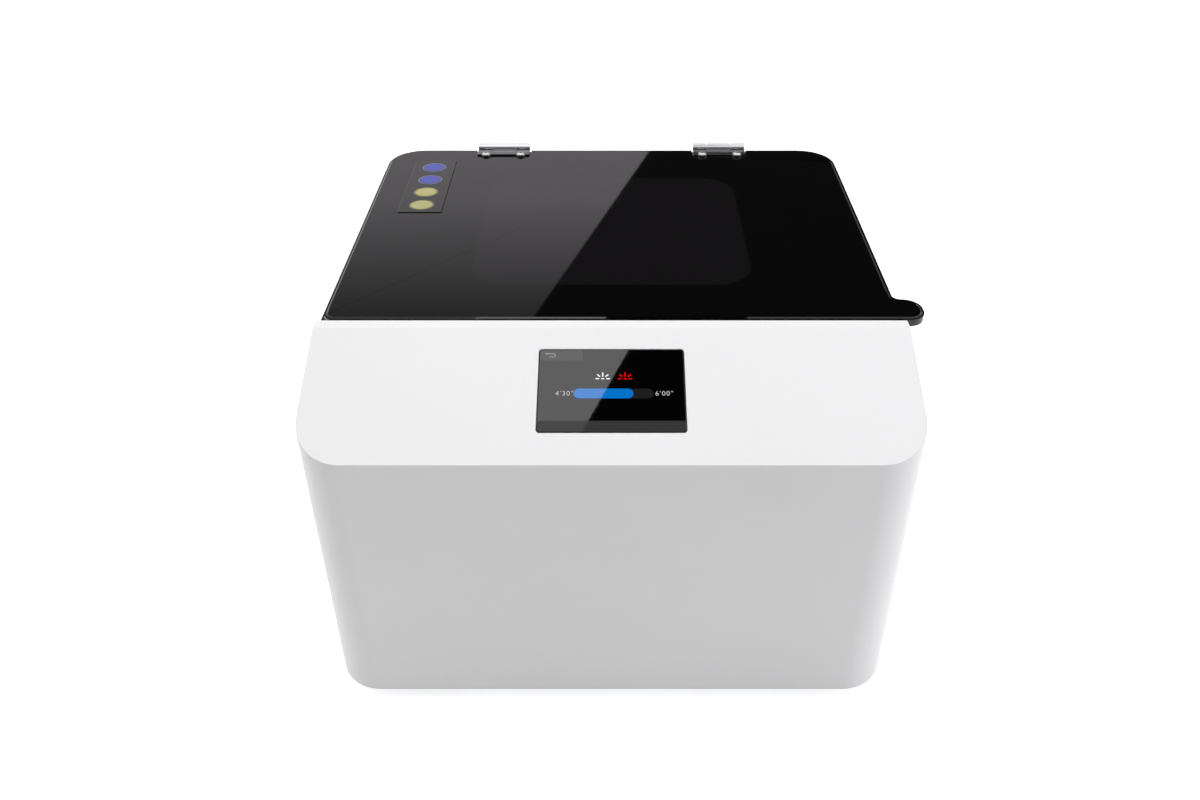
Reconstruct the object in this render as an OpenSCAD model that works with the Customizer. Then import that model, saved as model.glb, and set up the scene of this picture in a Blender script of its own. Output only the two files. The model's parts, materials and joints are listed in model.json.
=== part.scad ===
// Dental lab light curing unit: a free-standing bench box with a tilted display panel, a hinged dark lid,
// a mirrored curing chamber with four LED walls and a turntable, and its power, control and cooling parts.
// X runs to the user's right, Y to the back and Z up. The drawing frame has X = 0 on the housing's middle
// plane, Y = 0 on its front face and Z = 0 on the bench; place_on_origin() then centres the whole outline.

/* [Housing] */
// Width of the housing
body_w = 310; // [300:1:330]
// Depth of the housing
body_d = 315; // [312:1:335]
// Height of the front wall above the housing's lower edge
front_h = 162.5; // [155:0.5:185]
// Tilt of the front panel from level
panel_angle = 22.6; // [20:0.2:25]
// Level run of the tilted panel
panel_run = 74.8; // [72:0.2:80]
// Depth of the level crest behind the panel
crest_d = 7.7; // [6.5:0.1:12]
// Radius of the upright corners
corner_r = 25; // [18:0.5:30]
// Wall thickness of the housing
wall = 2.5; // [2:0.1:3]

/* [Base and feet] */
// Height of the rubber feet
foot_h = 8; // [5:0.5:14]
// Diameter of the rubber feet
foot_dia = 24; // [18:1:30]
// Distance of the foot centres from the sides, front and back
foot_inset = 34; // [30:1:40]
// Thickness of the steel base plate
base_t = 2; // [1.5:0.1:3]
// Width of the vent slots
vent_w = 4; // [2.5:0.1:5]
// Pitch of the vent slots
vent_pitch = 8; // [7:0.1:10]

/* [Deck and chamber] */
// Thickness of the dark deck under the lid
deck_t = 4; // [3.5:0.1:5]
// Width of the chamber mouth
mouth_w = 176; // [166:1:184]
// Depth of the deck between the lid's front edge and the chamber mouth
deck_front = 28.2; // [26:0.1:36]
// Corner radius of the chamber mouth
mouth_r = 14; // [8:1:15]
// Depth of the curing chamber below the deck
chamber_h = 104; // [96:1:112]
// Sheet thickness of the mirrored liner
liner_t = 1.5; // [1:0.1:2]
// Width of the liner's rim under the deck
liner_rim = 9; // [8:0.5:10]
// Gap between the turntable and the chamber walls
table_gap = 8; // [6:0.5:16]
// Thickness of the turntable plate
table_t = 4; // [3:0.5:6]

/* [LED walls] */
// Distance of the windows from the chamber's corners
led_win_in = 29; // [26:0.5:34]
// Height of the window in each chamber wall
led_win_h = 56; // [40:1:60]
// Thickness of the window panes
pane_t = 2; // [1.5:0.1:3]
// Thickness of the LED boards
led_board_t = 1.6; // [1.2:0.1:2]
// Size of an LED emitter
led_size = 3.5; // [3:0.1:5]
// Height of an LED emitter
led_h = 1.2; // [0.8:0.1:2]
// Columns of emitters on a board
led_cols = 6; // [3:1:8]
// Rows of emitters on a board
led_rows = 3; // [2:1:4]
// Base thickness of the heat sinks
sink_base = 4; // [3:0.5:5]
// Fin height of the two side heat sinks
side_fin_h = 24; // [12:1:30]
// Fin height of the front and rear heat sinks
end_fin_h = 8; // [5:0.5:9]
// Fin thickness
fin_t = 1.5; // [1:0.1:2]
// Number of fins on a heat sink
fin_n = 13; // [7:1:15]

/* [Lid] */
// Thickness of the lid panel
lid_t = 5; // [4:0.5:6]
// Setback of the lid from the housing's sides
lid_side = 2.5; // [1:0.1:6]
// Gap between the crest and the lid
lid_gap = 1.3; // [0.8:0.1:2]
// Setback of the lid from the housing's back
lid_setback = 1.5; // [1:0.1:2]
// Radius of the lid's front corner
lid_front_r = 7; // [4:0.5:12]
// Radius of the lid's back corners
lid_back_r = 23; // [12:0.5:26]
// Distance of the viewing window's edge inside the chamber mouth
window_in = 8; // [7:0.5:14]
// Corner radius of the viewing window
window_r = 22; // [10:1:26]
// Height of the frame under the lid
lid_frame_h = 3; // [2:0.5:3.5]
// Depth of the finger tab, front to back
tab_d = 21.5; // [19:0.5:26]
// Reach of the finger tab past the lid's side
tab_reach = 13.8; // [12:0.2:18]
// Radius of the tab's rear corner
tab_rear_r = 9.5; // [7:0.5:9.5]
// Radius of the tab's front corner
tab_front_r = 9; // [4:0.5:9]
// Radius of the fillet at the tab's root
tab_root_r = 5; // [3:0.5:8]
// Width of the dark strip on the lid
strip_w = 27.6; // [20:0.2:32]
// Length of the dark strip on the lid
strip_l = 81.7; // [60:0.1:90]
// Thickness of the dark strip
strip_t = 0.5; // [0.3:0.1:0.8]

/* [Hinges] */
// Distance of each hinge from the middle plane
hinge_x = 75; // [60:1:100]
// Width of a hinge
hinge_w = 36; // [30:0.5:42]
// Width of the middle knuckle
knuckle_mid_w = 16.5; // [12:0.5:18]
// Diameter of the knuckles
knuckle_dia = 6; // [5.5:0.1:7]
// Diameter of the hinge pin
pin_dia = 3; // [2.5:0.1:3.5]
// Thickness of the hinge leaves
leaf_t = 1.2; // [1:0.1:1.6]
// Height of the hinge axis above the lid's top
axis_rise = 1.2; // [1:0.1:1.5]
// Distance of the hinge axis behind the housing's back
axis_back = 0.8; // [0.6:0.1:1]
// Distance of the lid's hinge screws in front of the axis
lid_screw_back = 11.3; // [9:0.1:14]
// Height of the hinge leaf on the housing's back
back_leaf_h = 26; // [22:1:30]
// Distance between the two screws of a leaf
leaf_screw_gap = 24; // [18:0.5:26]

/* [Display] */
// Width of the touch screen
screen_w = 73.4; // [60:0.2:90]
// Height of the touch screen along the panel
screen_h = 49; // [40:0.5:52]
// Distance from the panel's front edge to the screen, along the panel
screen_up = 18.4; // [16:0.2:19]
// Corner radius of the touch screen
screen_r = 1.5; // [1:0.5:3]
// Thickness of the cover glass
glass_t = 1.6; // [1:0.1:1.9]
// Thickness of the LCD
lcd_t = 3.4; // [2.5:0.1:4]

/* [Power and control] */
// Width of the power supply
psu_w = 150; // [120:1:170]
// Depth of the power supply
psu_d = 97; // [80:1:98]
// Height of the power supply
psu_h = 30; // [25:1:38]
// Width of the control board
ctrl_w = 110; // [90:1:125]
// Depth of the control board
ctrl_d = 72; // [60:1:74]
// Height of the board's standoffs
standoff_h = 8; // [5:0.5:12]
// Thickness of the circuit boards
pcb_t = 1.6; // [1.2:0.1:2]
// Diameter of the gear motor
motor_dia = 37; // [30:1:40]
// Length of the gear motor
motor_l = 32; // [24:1:36]
// Diameter of the turntable shaft
shaft_dia = 6; // [5:0.5:8]

/* [Rear side] */
// Side of the square fans
fan_size = 80; // [70:1:82]
// Thickness of the fans
fan_t = 15; // [12:0.5:15]
// Distance of each fan from the middle plane
fan_x = 46; // [44:0.5:60]
// Height of the fan centres above the housing's lower edge
fan_up = 104; // [100:1:106]
// Distance between the fan's screw holes
fan_hole_gap = 71.5; // [60:0.5:72]
// Distance of the power inlet from the housing's side
inlet_side = 47; // [43:1:52]
// Height of the inlet above the housing's lower edge
inlet_up = 30; // [26:1:34]
// Distance of the mains switch from the middle plane
switch_x = 58; // [45:1:62]
// Swing of the mains rocker
rocker_swing = 20; // [14:1:24]

/* [Fits] */
// Gap round the cover glass and round the base plate
panel_gap = 0.3; // [0.2:0.05:0.5]
// Radial play of a screw in its hole
screw_play = 0.1; // [0.05:0.01:0.2]
// Radial running clearance of pins and shafts
run_play = 0.05; // [0.02:0.01:0.1]
// Gap between neighbouring knuckles
knuckle_gap = 0.3; // [0.2:0.05:0.5]
// Gap between the lid's frame and the chamber mouth
mouth_gap = 2; // [1:0.5:3]
// Gap between a rotor and its frame
rotor_gap = 1.2; // [0.8:0.1:2]
// Gap between the fans and the rear heat sink
fan_sink_gap = 4.5; // [3:0.5:8]
// Diameter of the screw shanks
screw_dia = 3; // [2.5:0.1:3.5]
// Diameter of the screw heads
head_dia = 6; // [5:0.1:6.5]
// Height of the screw heads
head_h = 1.8; // [1.4:0.1:2.2]

/* [Hidden] */
$fn = 48;
sides = [-1, 1];
// Overlap of joined shapes, and how far a cut runs past a face
bite = 0.5;

// Levels, counted from the bench
base_z = foot_h;
front_z = base_z + front_h;
crest_z = front_z + panel_run * tan(panel_angle);
deck_z = crest_z - lid_t;
deck_low_z = deck_z - deck_t;
shell_top_z = deck_low_z;
floor_z = deck_low_z - chamber_h;
base_top_z = base_z + base_t;
led_z = floor_z + chamber_h / 2;
table_z = floor_z + 8;
fan_z = base_z + fan_up;
inlet_z = base_z + inlet_up;

// LED walls, from the liner outwards
pane_play = 0.1;
board_out = pane_t + pane_play + led_h + 0.6;
sink_out = board_out + led_board_t;
sink_root = sink_out + sink_base;

// Places from front to back
crest_back = panel_run + crest_d;
lid_front = crest_back + lid_gap;
lid_back = body_d - lid_setback;
mouth_front = lid_front + deck_front;
mouth_back = body_d - wall - fan_t - fan_sink_gap - end_fin_h - sink_root - liner_t;
mouth_d = mouth_back - mouth_front;
mouth_y = (mouth_front + mouth_back) / 2;
mouth_least = min(mouth_w, mouth_d);

// Widths that follow the housing and the mouth
lid_w = body_w - 2 * lid_side;
window_w = mouth_w - 2 * window_in;
window_d = mouth_d - 2 * window_in;
table_dia = mouth_least - 2 * table_gap;
led_win_w = mouth_least - 2 * led_win_in;
inlet_x = body_w / 2 - inlet_side;

// Hinge line and the whole outline, for the origin
axis_y = body_d + axis_back;
axis_z = crest_z + axis_rise;
tab_end = lid_w / 2 + tab_reach;
rear_end = axis_y + knuckle_dia / 2;
origin_x = (tab_end - body_w / 2) / 2;
origin_y = rear_end / 2;

// Housing bosses, screws and vents
boss_dia = 8;
boss_h = 30;
boss_side = 7.5;
boss_x = body_w / 2 - wall - boss_side;
base_screw_in = 70;
base_screw_y = [base_screw_in, body_d / 2, body_d - base_screw_in];
base_screw_l = 10;
deck_screw_x = body_w / 2 - 12;
deck_screw_y = [crest_back + 14, mouth_y, body_d - 32];
vent_r = fan_size / 2 - 4;
vent_reach = floor((vent_r - vent_w / 2 - 2) / vent_pitch);
base_slot_x = body_w / 2 - 60;
base_slot_l = 60;
base_slot_in = 14;
base_slots = 10;
foot_taper = 1.5;
foot_floor = 3;

// Deck, seal and lid switch
seal_gap = 1.5;
seal_w = 4;
seal_h = 1.2;
deck_bite = deck_t - seal_h - 0.4;
rim_w = mouth_w + 2 * liner_rim;
rim_d = mouth_d + 2 * liner_rim;
rim_r = mouth_r + liner_rim;
rim_screw_in = liner_rim - liner_t;
sensor_x = 33 - body_w / 2;
sensor_y = mouth_front + 13;
sensor_w = 14;
sensor_d = 6;
sensor_h = 2;
magnet_dia = 8;
magnet_h = 3;

// LED panes, boards and heat sinks
pane_w = led_win_w + 8;
pane_h = led_win_h + 8;
led_board_w = led_win_w - 2;
led_board_h = led_win_h - 2;
led_pitch_x = led_board_w / led_cols;
led_pitch_y = led_board_h / led_rows;
sink_leg = 10;
sink_w = pane_w + 2 * sink_leg;
sink_h = pane_h + 16;
fin_span = pane_w - 2;

// Turntable
hub_dia = 16;
hub_nose_dia = 10;
hub_gap = 1;
shaft_deep = 14;
motor_bite = 4;

// Power supply and control board
psu_y = 14 + psu_d / 2;
psu_hole_x = psu_w - 20;
psu_hole_y = psu_d - 20;
psu_screw_l = 4;
psu_sheet = 1;
ctrl_x = -40;
ctrl_y = body_d - 20 - ctrl_d / 2;
ctrl_hole_x = ctrl_w - 8;
ctrl_hole_y = ctrl_d - 8;
base_slot_y = psu_y + psu_d / 2 + base_slot_in;
base_slot_pitch = (ctrl_y - ctrl_d / 2 - base_slot_in - vent_w - base_slot_y) / base_slots;

// Parts on the control board
part_in = 12;
relay = [19, 15, 15];
chip = [14, 14, 1.4];
driver = [6, 5, 1.6];
driver_step = 14;
cap_dia = 10;
cap_h = 16;
cap_step = 13;
plug = [15, 7, 8];
plug_step = 20;

// Display stack, counted inwards from the panel
screen_mid = screen_up + screen_h / 2;
lcd_low = glass_t + lcd_t;
display_bite = 3.2;
bracket_screw_x = screen_w + 12;
bracket_screw_y = screen_h - 14;
bracket_t = 1.2;
spacer_h = 4;

// Back hinge leaf, inlet and switch
back_screw_z = crest_z - back_leaf_h + 6;
inlet_body_w = 27;
inlet_body_h = 20;
inlet_flange_w = 50;
inlet_flange_h = 24;
inlet_flange_t = 1.6;
inlet_hole_gap = 40;
inlet_deep = 22;
socket_w = 24.4;
socket_h = 16.8;
socket_deep = 17;
socket_cut = 4.5;
blade_l = 12;
blade_w = 4;
blade_t = 2;
blade_gap = 14;
switch_body_w = 13;
switch_body_h = 19.6;
switch_bezel = 1;
switch_bezel_t = 1.5;
switch_deep = 20;
rocker_w = 10.4;
rocker_r = 8.2;
rocker_rise = 2;
rocker_gap = 0.4;
rocker_in = 1.5;

// Hinge parts
leaf_gap_y = axis_y - knuckle_dia / 2 - knuckle_gap;
lid_screw_y = axis_y - lid_screw_back;
notch_y = axis_y - knuckle_dia / 2 - 2;
ear_r = head_dia / 2 + 0.4;
strip_side = 18.7;
strip_back = 19.2;
board_low = -lcd_low - bracket_t - spacer_h - pcb_t;
fan_strut = 3;
fan_hub_r = 15;
fan_axle = 3;
fan_blades = 7;
fan_blade_w = 15;
fan_blade_t = 1.4;
fan_pitch = 38;
rocker_pin = 2;
rocker_pin_l = rocker_w + 2 * rocker_gap + 0.6;
rocker_drop = 3;

// Shared drawing helpers

// Moves the drawing frame so that the whole outline is centred over the origin
module place_on_origin() {
    translate([-origin_x, -origin_y, 0]) children();
}

// Extrudes an outline drawn in Y and Z along X
module along_x(from, to) {
    translate([from, 0, 0]) rotate([90, 0, 90]) linear_extrude(to - from) children();
}

// Places children on the tilted panel: x across, y up the slope from its front edge, z outwards
module on_panel() {
    translate([0, 0, front_z]) rotate([panel_angle, 0, 0]) children();
}

// Places children on the back wall's outer face: x across, y up from the bench, z outwards
module on_back() {
    translate([0, body_d, 0]) rotate([90, 0, 0]) mirror([0, 0, 1]) children();
}

// Places children outside chamber wall k (0 right, 1 rear, 2 left, 3 front): y up, z away from the chamber
module at_wall(k) {
    translate([0, mouth_y, led_z]) rotate([90, 0, 90 + 90 * k])
        translate([0, 0, (k % 2 == 0 ? mouth_w : mouth_d) / 2 + liner_t]) children();
}

module round_rect(w, d, r) {
    square([w - 2 * r, d], center = true);
    square([w, d - 2 * r], center = true);
    for (x = sides) for (y = sides) translate([x * (w / 2 - r), y * (d / 2 - r)]) circle(r);
}

module round_plate(w, d, r, h) {
    linear_extrude(h) round_rect(w, d, r);
}

// A slot with round ends, cut down from z = 0 to z = -depth
module slot(l, w, depth) {
    translate([0, 0, -depth]) linear_extrude(depth + bite) {
        square([l - w, w], center = true);
        for (x = sides) translate([x * (l - w) / 2, 0]) circle(w / 2);
    }
}

// A pan-head screw: its head stands on z = 0 and its shank points down
module screw(l) {
    difference() {
        union() {
            cylinder(d = head_dia, h = head_h);
            translate([0, 0, -l]) cylinder(d = screw_dia, h = l + head_h / 2);
        }
        for (a = [0, 90]) rotate(a) translate([0, 0, head_h])
            cube([head_dia * 0.6, head_dia * 0.14, head_h], center = true);
    }
}

module screw_hole(l) {
    translate([0, 0, -l]) cylinder(d = screw_dia + 2 * screw_play, h = l + bite);
}

// Places children at the four corners of a rectangle
module at_corners(w, d) {
    for (x = sides) for (y = sides) translate([x * w / 2, y * d / 2]) children();
}

// Housing

module body_outline(inset) {
    translate([0, body_d / 2]) round_rect(body_w - 2 * inset, body_d - 2 * inset, corner_r - inset);
}

// The housing's side view, taken in by t
module side_profile(t) {
    panel_low = front_z - t / cos(panel_angle);
    polygon([
        [0, base_z - t], [0, panel_low],
        [(crest_z - t - panel_low) / tan(panel_angle), crest_z - t],
        [crest_back - t, crest_z - t], [crest_back - t, shell_top_z - t],
        [body_d, shell_top_z - t], [body_d, base_z - t]
    ]);
}

module housing_form(t) {
    intersection() {
        translate([0, 0, base_z - t]) linear_extrude(crest_z) body_outline(t);
        along_x(-body_w / 2, body_w / 2) side_profile(t);
    }
}

module base_boss() {
    translate([0, 0, base_top_z]) {
        cylinder(d = boss_dia, h = boss_h);
        translate([0, -boss_dia / 4, 0]) cube([boss_side + bite, boss_dia / 2, boss_h]);
    }
}

module housing_shell() {
    color("white") place_on_origin() difference() {
        union() {
            difference() {
                housing_form(0);
                housing_form(wall);
            }
            for (x = sides) for (y = base_screw_y)
                translate([x * boss_x, y, 0]) rotate(x > 0 ? 0 : 180) base_boss();
            on_panel() translate([0, screen_mid, -lcd_low]) at_corners(bracket_screw_x, bracket_screw_y)
                cylinder(d = boss_dia, h = lcd_low - wall + bite);
        }
        translate([0, mouth_y, shell_top_z - 2 * wall])
            round_plate(rim_w + 2 * panel_gap, rim_d + 2 * panel_gap, rim_r, 3 * wall);
        for (x = sides) for (y = base_screw_y) translate([x * boss_x, y, base_top_z + base_screw_l])
            screw_hole(base_screw_l);
        for (x = sides) for (y = deck_screw_y) translate([x * deck_screw_x, y, shell_top_z])
            screw_hole(wall + bite);
        on_panel() translate([0, screen_mid, 0]) {
            translate([0, 0, -2 * wall]) round_plate(screen_w + 2 * panel_gap, screen_h + 2 * panel_gap,
                screen_r + panel_gap, 3 * wall);
            at_corners(bracket_screw_x, bracket_screw_y)
                translate([0, 0, -lcd_low + display_bite]) screw_hole(display_bite + bite);
        }
        on_back() {
            for (x = sides) translate([x * fan_x, fan_z, 0]) {
                for (i = [-vent_reach:vent_reach]) translate([0, i * vent_pitch, bite])
                    slot(2 * sqrt(pow(vent_r, 2) - pow(i * vent_pitch, 2)), vent_w, wall + 2 * bite);
                at_corners(fan_hole_gap, fan_hole_gap) screw_hole(wall + bite);
            }
            for (x = sides) for (s = sides)
                translate([x * hinge_x + s * leaf_screw_gap / 2, back_screw_z, 0]) screw_hole(wall + bite);
            translate([inlet_x, inlet_z, -2 * wall]) linear_extrude(3 * wall)
                square([inlet_body_w + 2 * panel_gap, inlet_body_h + 2 * panel_gap], center = true);
            for (s = sides) translate([inlet_x + s * inlet_hole_gap / 2, inlet_z, 0]) screw_hole(wall + bite);
            translate([switch_x, inlet_z, -2 * wall]) linear_extrude(3 * wall)
                square([switch_body_w + 2 * panel_gap, switch_body_h + 2 * panel_gap], center = true);
        }
    }
}

module base_plate() {
    color("silver") place_on_origin() difference() {
        translate([0, 0, base_z]) linear_extrude(base_t) body_outline(wall + panel_gap);
        for (x = sides) for (y = base_screw_y)
            translate([x * boss_x, y, base_top_z]) screw_hole(base_t + bite);
        at_feet() translate([0, 0, base_top_z]) screw_hole(base_t + bite);
        translate([0, psu_y, base_top_z]) at_corners(psu_hole_x, psu_hole_y) screw_hole(base_t + bite);
        translate([ctrl_x, ctrl_y, base_top_z])
            at_corners(ctrl_hole_x, ctrl_hole_y) screw_hole(base_t + bite);
        for (x = sides) for (i = [0:base_slots - 1])
            translate([x * base_slot_x, base_slot_y + i * base_slot_pitch, base_top_z])
                slot(base_slot_l, vent_w, base_t + bite);
    }
}

module at_feet() {
    for (x = sides) for (y = [foot_inset, body_d - foot_inset])
        translate([x * (body_w / 2 - foot_inset), y, 0]) children();
}

module rubber_feet() {
    color("dimgray") place_on_origin() at_feet() difference() {
        cylinder(d1 = foot_dia - 2 * foot_taper, d2 = foot_dia, h = foot_h);
        translate([0, 0, -bite]) cylinder(d = head_dia + 2, h = foot_h - foot_floor + bite);
        cylinder(d = screw_dia + 2 * screw_play, h = foot_h + bite);
    }
}

module foot_screws() {
    color("silver") place_on_origin() at_feet() translate([0, 0, foot_h - foot_floor])
        mirror([0, 0, 1]) screw(foot_floor + base_t + 2 * bite);
}

module base_screws() {
    color("silver") place_on_origin() {
        for (x = sides) for (y = base_screw_y) translate([x * boss_x, y, base_z])
            mirror([0, 0, 1]) screw(base_t + base_screw_l - bite);
        translate([0, psu_y, base_z]) at_corners(psu_hole_x, psu_hole_y)
            mirror([0, 0, 1]) screw(base_t + psu_screw_l - bite);
        translate([ctrl_x, ctrl_y, base_z]) at_corners(ctrl_hole_x, ctrl_hole_y)
            mirror([0, 0, 1]) screw(base_t + standoff_h / 2 - bite);
    }
}

// Deck

module top_deck() {
    color([0.16, 0.16, 0.17]) place_on_origin() difference() {
        translate([0, 0, deck_low_z]) linear_extrude(deck_t) intersection() {
            body_outline(0);
            translate([-body_w / 2, crest_back]) square([body_w, body_d]);
        }
        translate([0, mouth_y, deck_low_z - bite]) mouth_plate(0, deck_t + 2 * bite);
        translate([0, mouth_y, deck_z - seal_h]) gasket_ring(seal_h + bite);
        for (x = sides) for (y = deck_screw_y) translate([x * deck_screw_x, y, deck_low_z + deck_bite])
            screw_hole(deck_bite + bite);
        at_rim_screws() translate([0, 0, deck_low_z + deck_bite]) screw_hole(deck_bite + bite);
        translate([sensor_x, sensor_y, deck_low_z - bite]) linear_extrude(sensor_h + bite)
            square([sensor_w + 2 * panel_gap, sensor_d + 2 * panel_gap], center = true);
    }
}

// The mouth's outline, grown by g
module mouth_plate(g, h) {
    round_plate(mouth_w + 2 * g, mouth_d + 2 * g, mouth_r + g, h);
}

module gasket_ring(h) {
    difference() {
        mouth_plate(seal_gap + seal_w, h);
        translate([0, 0, -bite]) mouth_plate(seal_gap, h + 2 * bite);
    }
}

module chamber_gasket() {
    color("black") place_on_origin() translate([0, mouth_y, deck_z - seal_h]) gasket_ring(seal_h);
}

module deck_screws() {
    color("silver") place_on_origin() for (x = sides) for (y = deck_screw_y)
        translate([x * deck_screw_x, y, shell_top_z - wall]) mirror([0, 0, 1]) screw(wall + deck_bite - bite);
}

module lid_sensor() {
    color("darkgreen") place_on_origin() translate([sensor_x, sensor_y, deck_low_z]) linear_extrude(sensor_h)
        square([sensor_w, sensor_d], center = true);
}

// Curing chamber

module at_rim_screws() {
    translate([0, mouth_y, 0]) {
        for (x = sides) for (y = sides)
            translate([x * (rim_w - rim_screw_in) / 2, y * mouth_d / 4, 0]) children();
        for (y = sides) translate([0, y * (rim_d - rim_screw_in) / 2, 0]) children();
    }
}

module chamber_liner() {
    color([0.86, 0.87, 0.89]) place_on_origin() difference() {
        translate([0, mouth_y, 0]) {
            translate([0, 0, floor_z - liner_t]) mouth_plate(liner_t, chamber_h + liner_t);
            translate([0, 0, deck_low_z - liner_t]) round_plate(rim_w, rim_d, rim_r, liner_t);
        }
        translate([0, mouth_y, floor_z]) mouth_plate(0, chamber_h + bite);
        for (k = [0:3]) at_wall(k) translate([0, 0, -2 * liner_t]) linear_extrude(3 * liner_t)
            square([led_win_w, led_win_h], center = true);
        translate([0, mouth_y, floor_z - liner_t - bite]) cylinder(d = shaft_dia + 2, h = liner_t + 2 * bite);
        at_motor_screws() translate([0, 0, floor_z]) screw_hole(liner_t + bite);
        at_rim_screws() translate([0, 0, deck_low_z]) screw_hole(liner_t + bite);
        for (k = [0:3]) at_sink_screws(k) translate([0, 0, bite]) screw_hole(liner_t + 2 * bite);
    }
}

module liner_screws() {
    color("silver") place_on_origin() at_rim_screws() translate([0, 0, deck_low_z - liner_t])
        mirror([0, 0, 1]) screw(liner_t + deck_bite - bite);
}

module led_windows() {
    color([0.8, 0.9, 0.95, 0.5]) place_on_origin() for (k = [0:3]) at_wall(k) linear_extrude(pane_t)
        square([pane_w, pane_h], center = true);
}

module led_board(k) {
    color("white") place_on_origin() at_wall(k) translate([0, 0, board_out]) linear_extrude(led_board_t)
        square([led_board_w, led_board_h], center = true);
}

module led_emitters() {
    first_x = -(led_cols - 1) / 2 * led_pitch_x;
    first_y = -(led_rows - 1) / 2 * led_pitch_y;
    color("khaki") place_on_origin() for (k = [0:3]) at_wall(k)
        translate([first_x, first_y, board_out - led_h])
            for (i = [0:led_cols - 1]) for (j = [0:led_rows - 1])
                translate([i * led_pitch_x, j * led_pitch_y, 0])
                    linear_extrude(led_h) square(led_size, center = true);
}

module at_sink_screws(k) {
    at_wall(k) at_corners(sink_w - sink_leg, sink_h - 2 * sink_leg) children();
}

// A finned sink on two legs that stand on the liner and hold the pane in their rebate
module heat_sink(k) {
    fin_h = k % 2 == 0 ? side_fin_h : end_fin_h;
    fin_step = (fin_span - fin_t) / (fin_n - 1);
    color("silver") place_on_origin() difference() {
        at_wall(k) difference() {
            union() {
                linear_extrude(sink_root) square([sink_w, sink_h], center = true);
                for (i = [0:fin_n - 1]) translate([(i - (fin_n - 1) / 2) * fin_step, 0, sink_root - bite])
                    linear_extrude(fin_h + bite) square([fin_t, sink_h], center = true);
            }
            translate([0, 0, -bite]) linear_extrude(pane_t + pane_play + bite)
                square([pane_w + 2 * panel_gap, sink_h + 2 * bite], center = true);
            linear_extrude(sink_out) square([led_board_w + 2 * panel_gap, sink_h + 2 * bite], center = true);
        }
        at_sink_screws(k) translate([0, 0, sink_root]) screw_hole(sink_root + bite);
    }
}

module heat_sink_screws() {
    color("silver") place_on_origin() for (k = [0:3]) at_sink_screws(k)
        translate([0, 0, sink_root]) screw(sink_root + liner_t - bite);
}

// Turntable and its drive

module turntable_plate() {
    color([0.75, 0.8, 0.82, 0.6]) place_on_origin() translate([0, mouth_y, table_z]) difference() {
        cylinder(d = table_dia, h = table_t);
        translate([0, 0, -bite]) cylinder(d = hub_nose_dia + 2 * run_play, h = table_t + 2 * bite);
    }
}

module turntable_hub() {
    color("dimgray") place_on_origin() translate([0, mouth_y, 0]) difference() {
        union() {
            translate([0, 0, floor_z + hub_gap]) cylinder(d = hub_dia, h = table_z - floor_z - hub_gap);
            translate([0, 0, table_z - bite]) cylinder(d = hub_nose_dia, h = table_t + bite);
        }
        translate([0, 0, floor_z]) cylinder(d = shaft_dia + 2 * run_play, h = table_z - floor_z);
    }
}

module turntable_shaft() {
    color("silver") place_on_origin() translate([0, mouth_y, floor_z - liner_t - shaft_deep])
        cylinder(d = shaft_dia, h = shaft_deep + liner_t + table_z - floor_z);
}

module at_motor_screws() {
    translate([0, mouth_y, 0]) for (x = sides) translate([x * motor_dia / 3, 0, 0]) children();
}

module turntable_motor() {
    color("gray") place_on_origin() difference() {
        translate([0, mouth_y, floor_z - liner_t - motor_l]) {
            cylinder(d = motor_dia - 2, h = motor_l / 2);
            translate([0, 0, motor_l / 2 - bite]) cylinder(d = motor_dia, h = motor_l / 2 + bite);
        }
        translate([0, mouth_y, floor_z - liner_t - shaft_deep - bite])
            cylinder(d = shaft_dia + 2 * run_play, h = shaft_deep + 2 * bite);
        at_motor_screws() translate([0, 0, floor_z - liner_t]) screw_hole(motor_bite);
    }
}

module motor_screws() {
    color("silver") place_on_origin() at_motor_screws() translate([0, 0, floor_z])
        screw(liner_t + motor_bite - bite);
}

// Power and control

module power_supply() {
    color("silver") place_on_origin() translate([0, psu_y, base_top_z]) difference() {
        union() {
            difference() {
                linear_extrude(psu_h) square([psu_w, psu_d], center = true);
                translate([0, 0, psu_sheet]) linear_extrude(psu_h - 2 * psu_sheet)
                    square([psu_w - 2 * psu_sheet, psu_d - 2 * psu_sheet], center = true);
            }
            at_corners(psu_hole_x, psu_hole_y) cylinder(d = boss_dia, h = psu_screw_l);
        }
        at_corners(psu_hole_x, psu_hole_y) translate([0, 0, psu_screw_l])
            screw_hole(psu_screw_l + bite);
        for (i = [-5:5]) translate([i * vent_pitch, 0, psu_h])
            rotate(90) slot(psu_d * 0.6, vent_w, psu_sheet + bite);
    }
}

// Board, transformer, choke and capacitors inside the power supply
module power_supply_parts() {
    board_z = base_top_z + psu_screw_l;
    part_h = psu_h - psu_screw_l - pcb_t - 2 * psu_sheet - 1;
    color("goldenrod") place_on_origin() translate([0, psu_y, board_z]) {
        linear_extrude(pcb_t) square([psu_w - 6, psu_d - 6], center = true);
        translate([0, 0, pcb_t]) {
            translate([-psu_w / 8, -psu_d / 6, 0]) linear_extrude(part_h) square([32, 28], center = true);
            translate([psu_w / 5, 0, 0]) cylinder(d = 22, h = part_h);
            for (i = [-1:1]) translate([-psu_w / 3, i * psu_d / 5, 0]) cylinder(d = 14, h = part_h);
            translate([psu_w * 0.38, 0, 0]) linear_extrude(part_h / 2)
                square([12, psu_d * 0.6], center = true);
        }
    }
}

module control_board() {
    color("darkgreen") place_on_origin() translate([ctrl_x, ctrl_y, base_top_z + standoff_h]) difference() {
        linear_extrude(pcb_t) square([ctrl_w, ctrl_d], center = true);
        at_corners(ctrl_hole_x, ctrl_hole_y) translate([0, 0, pcb_t]) screw_hole(pcb_t + bite);
    }
}

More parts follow.
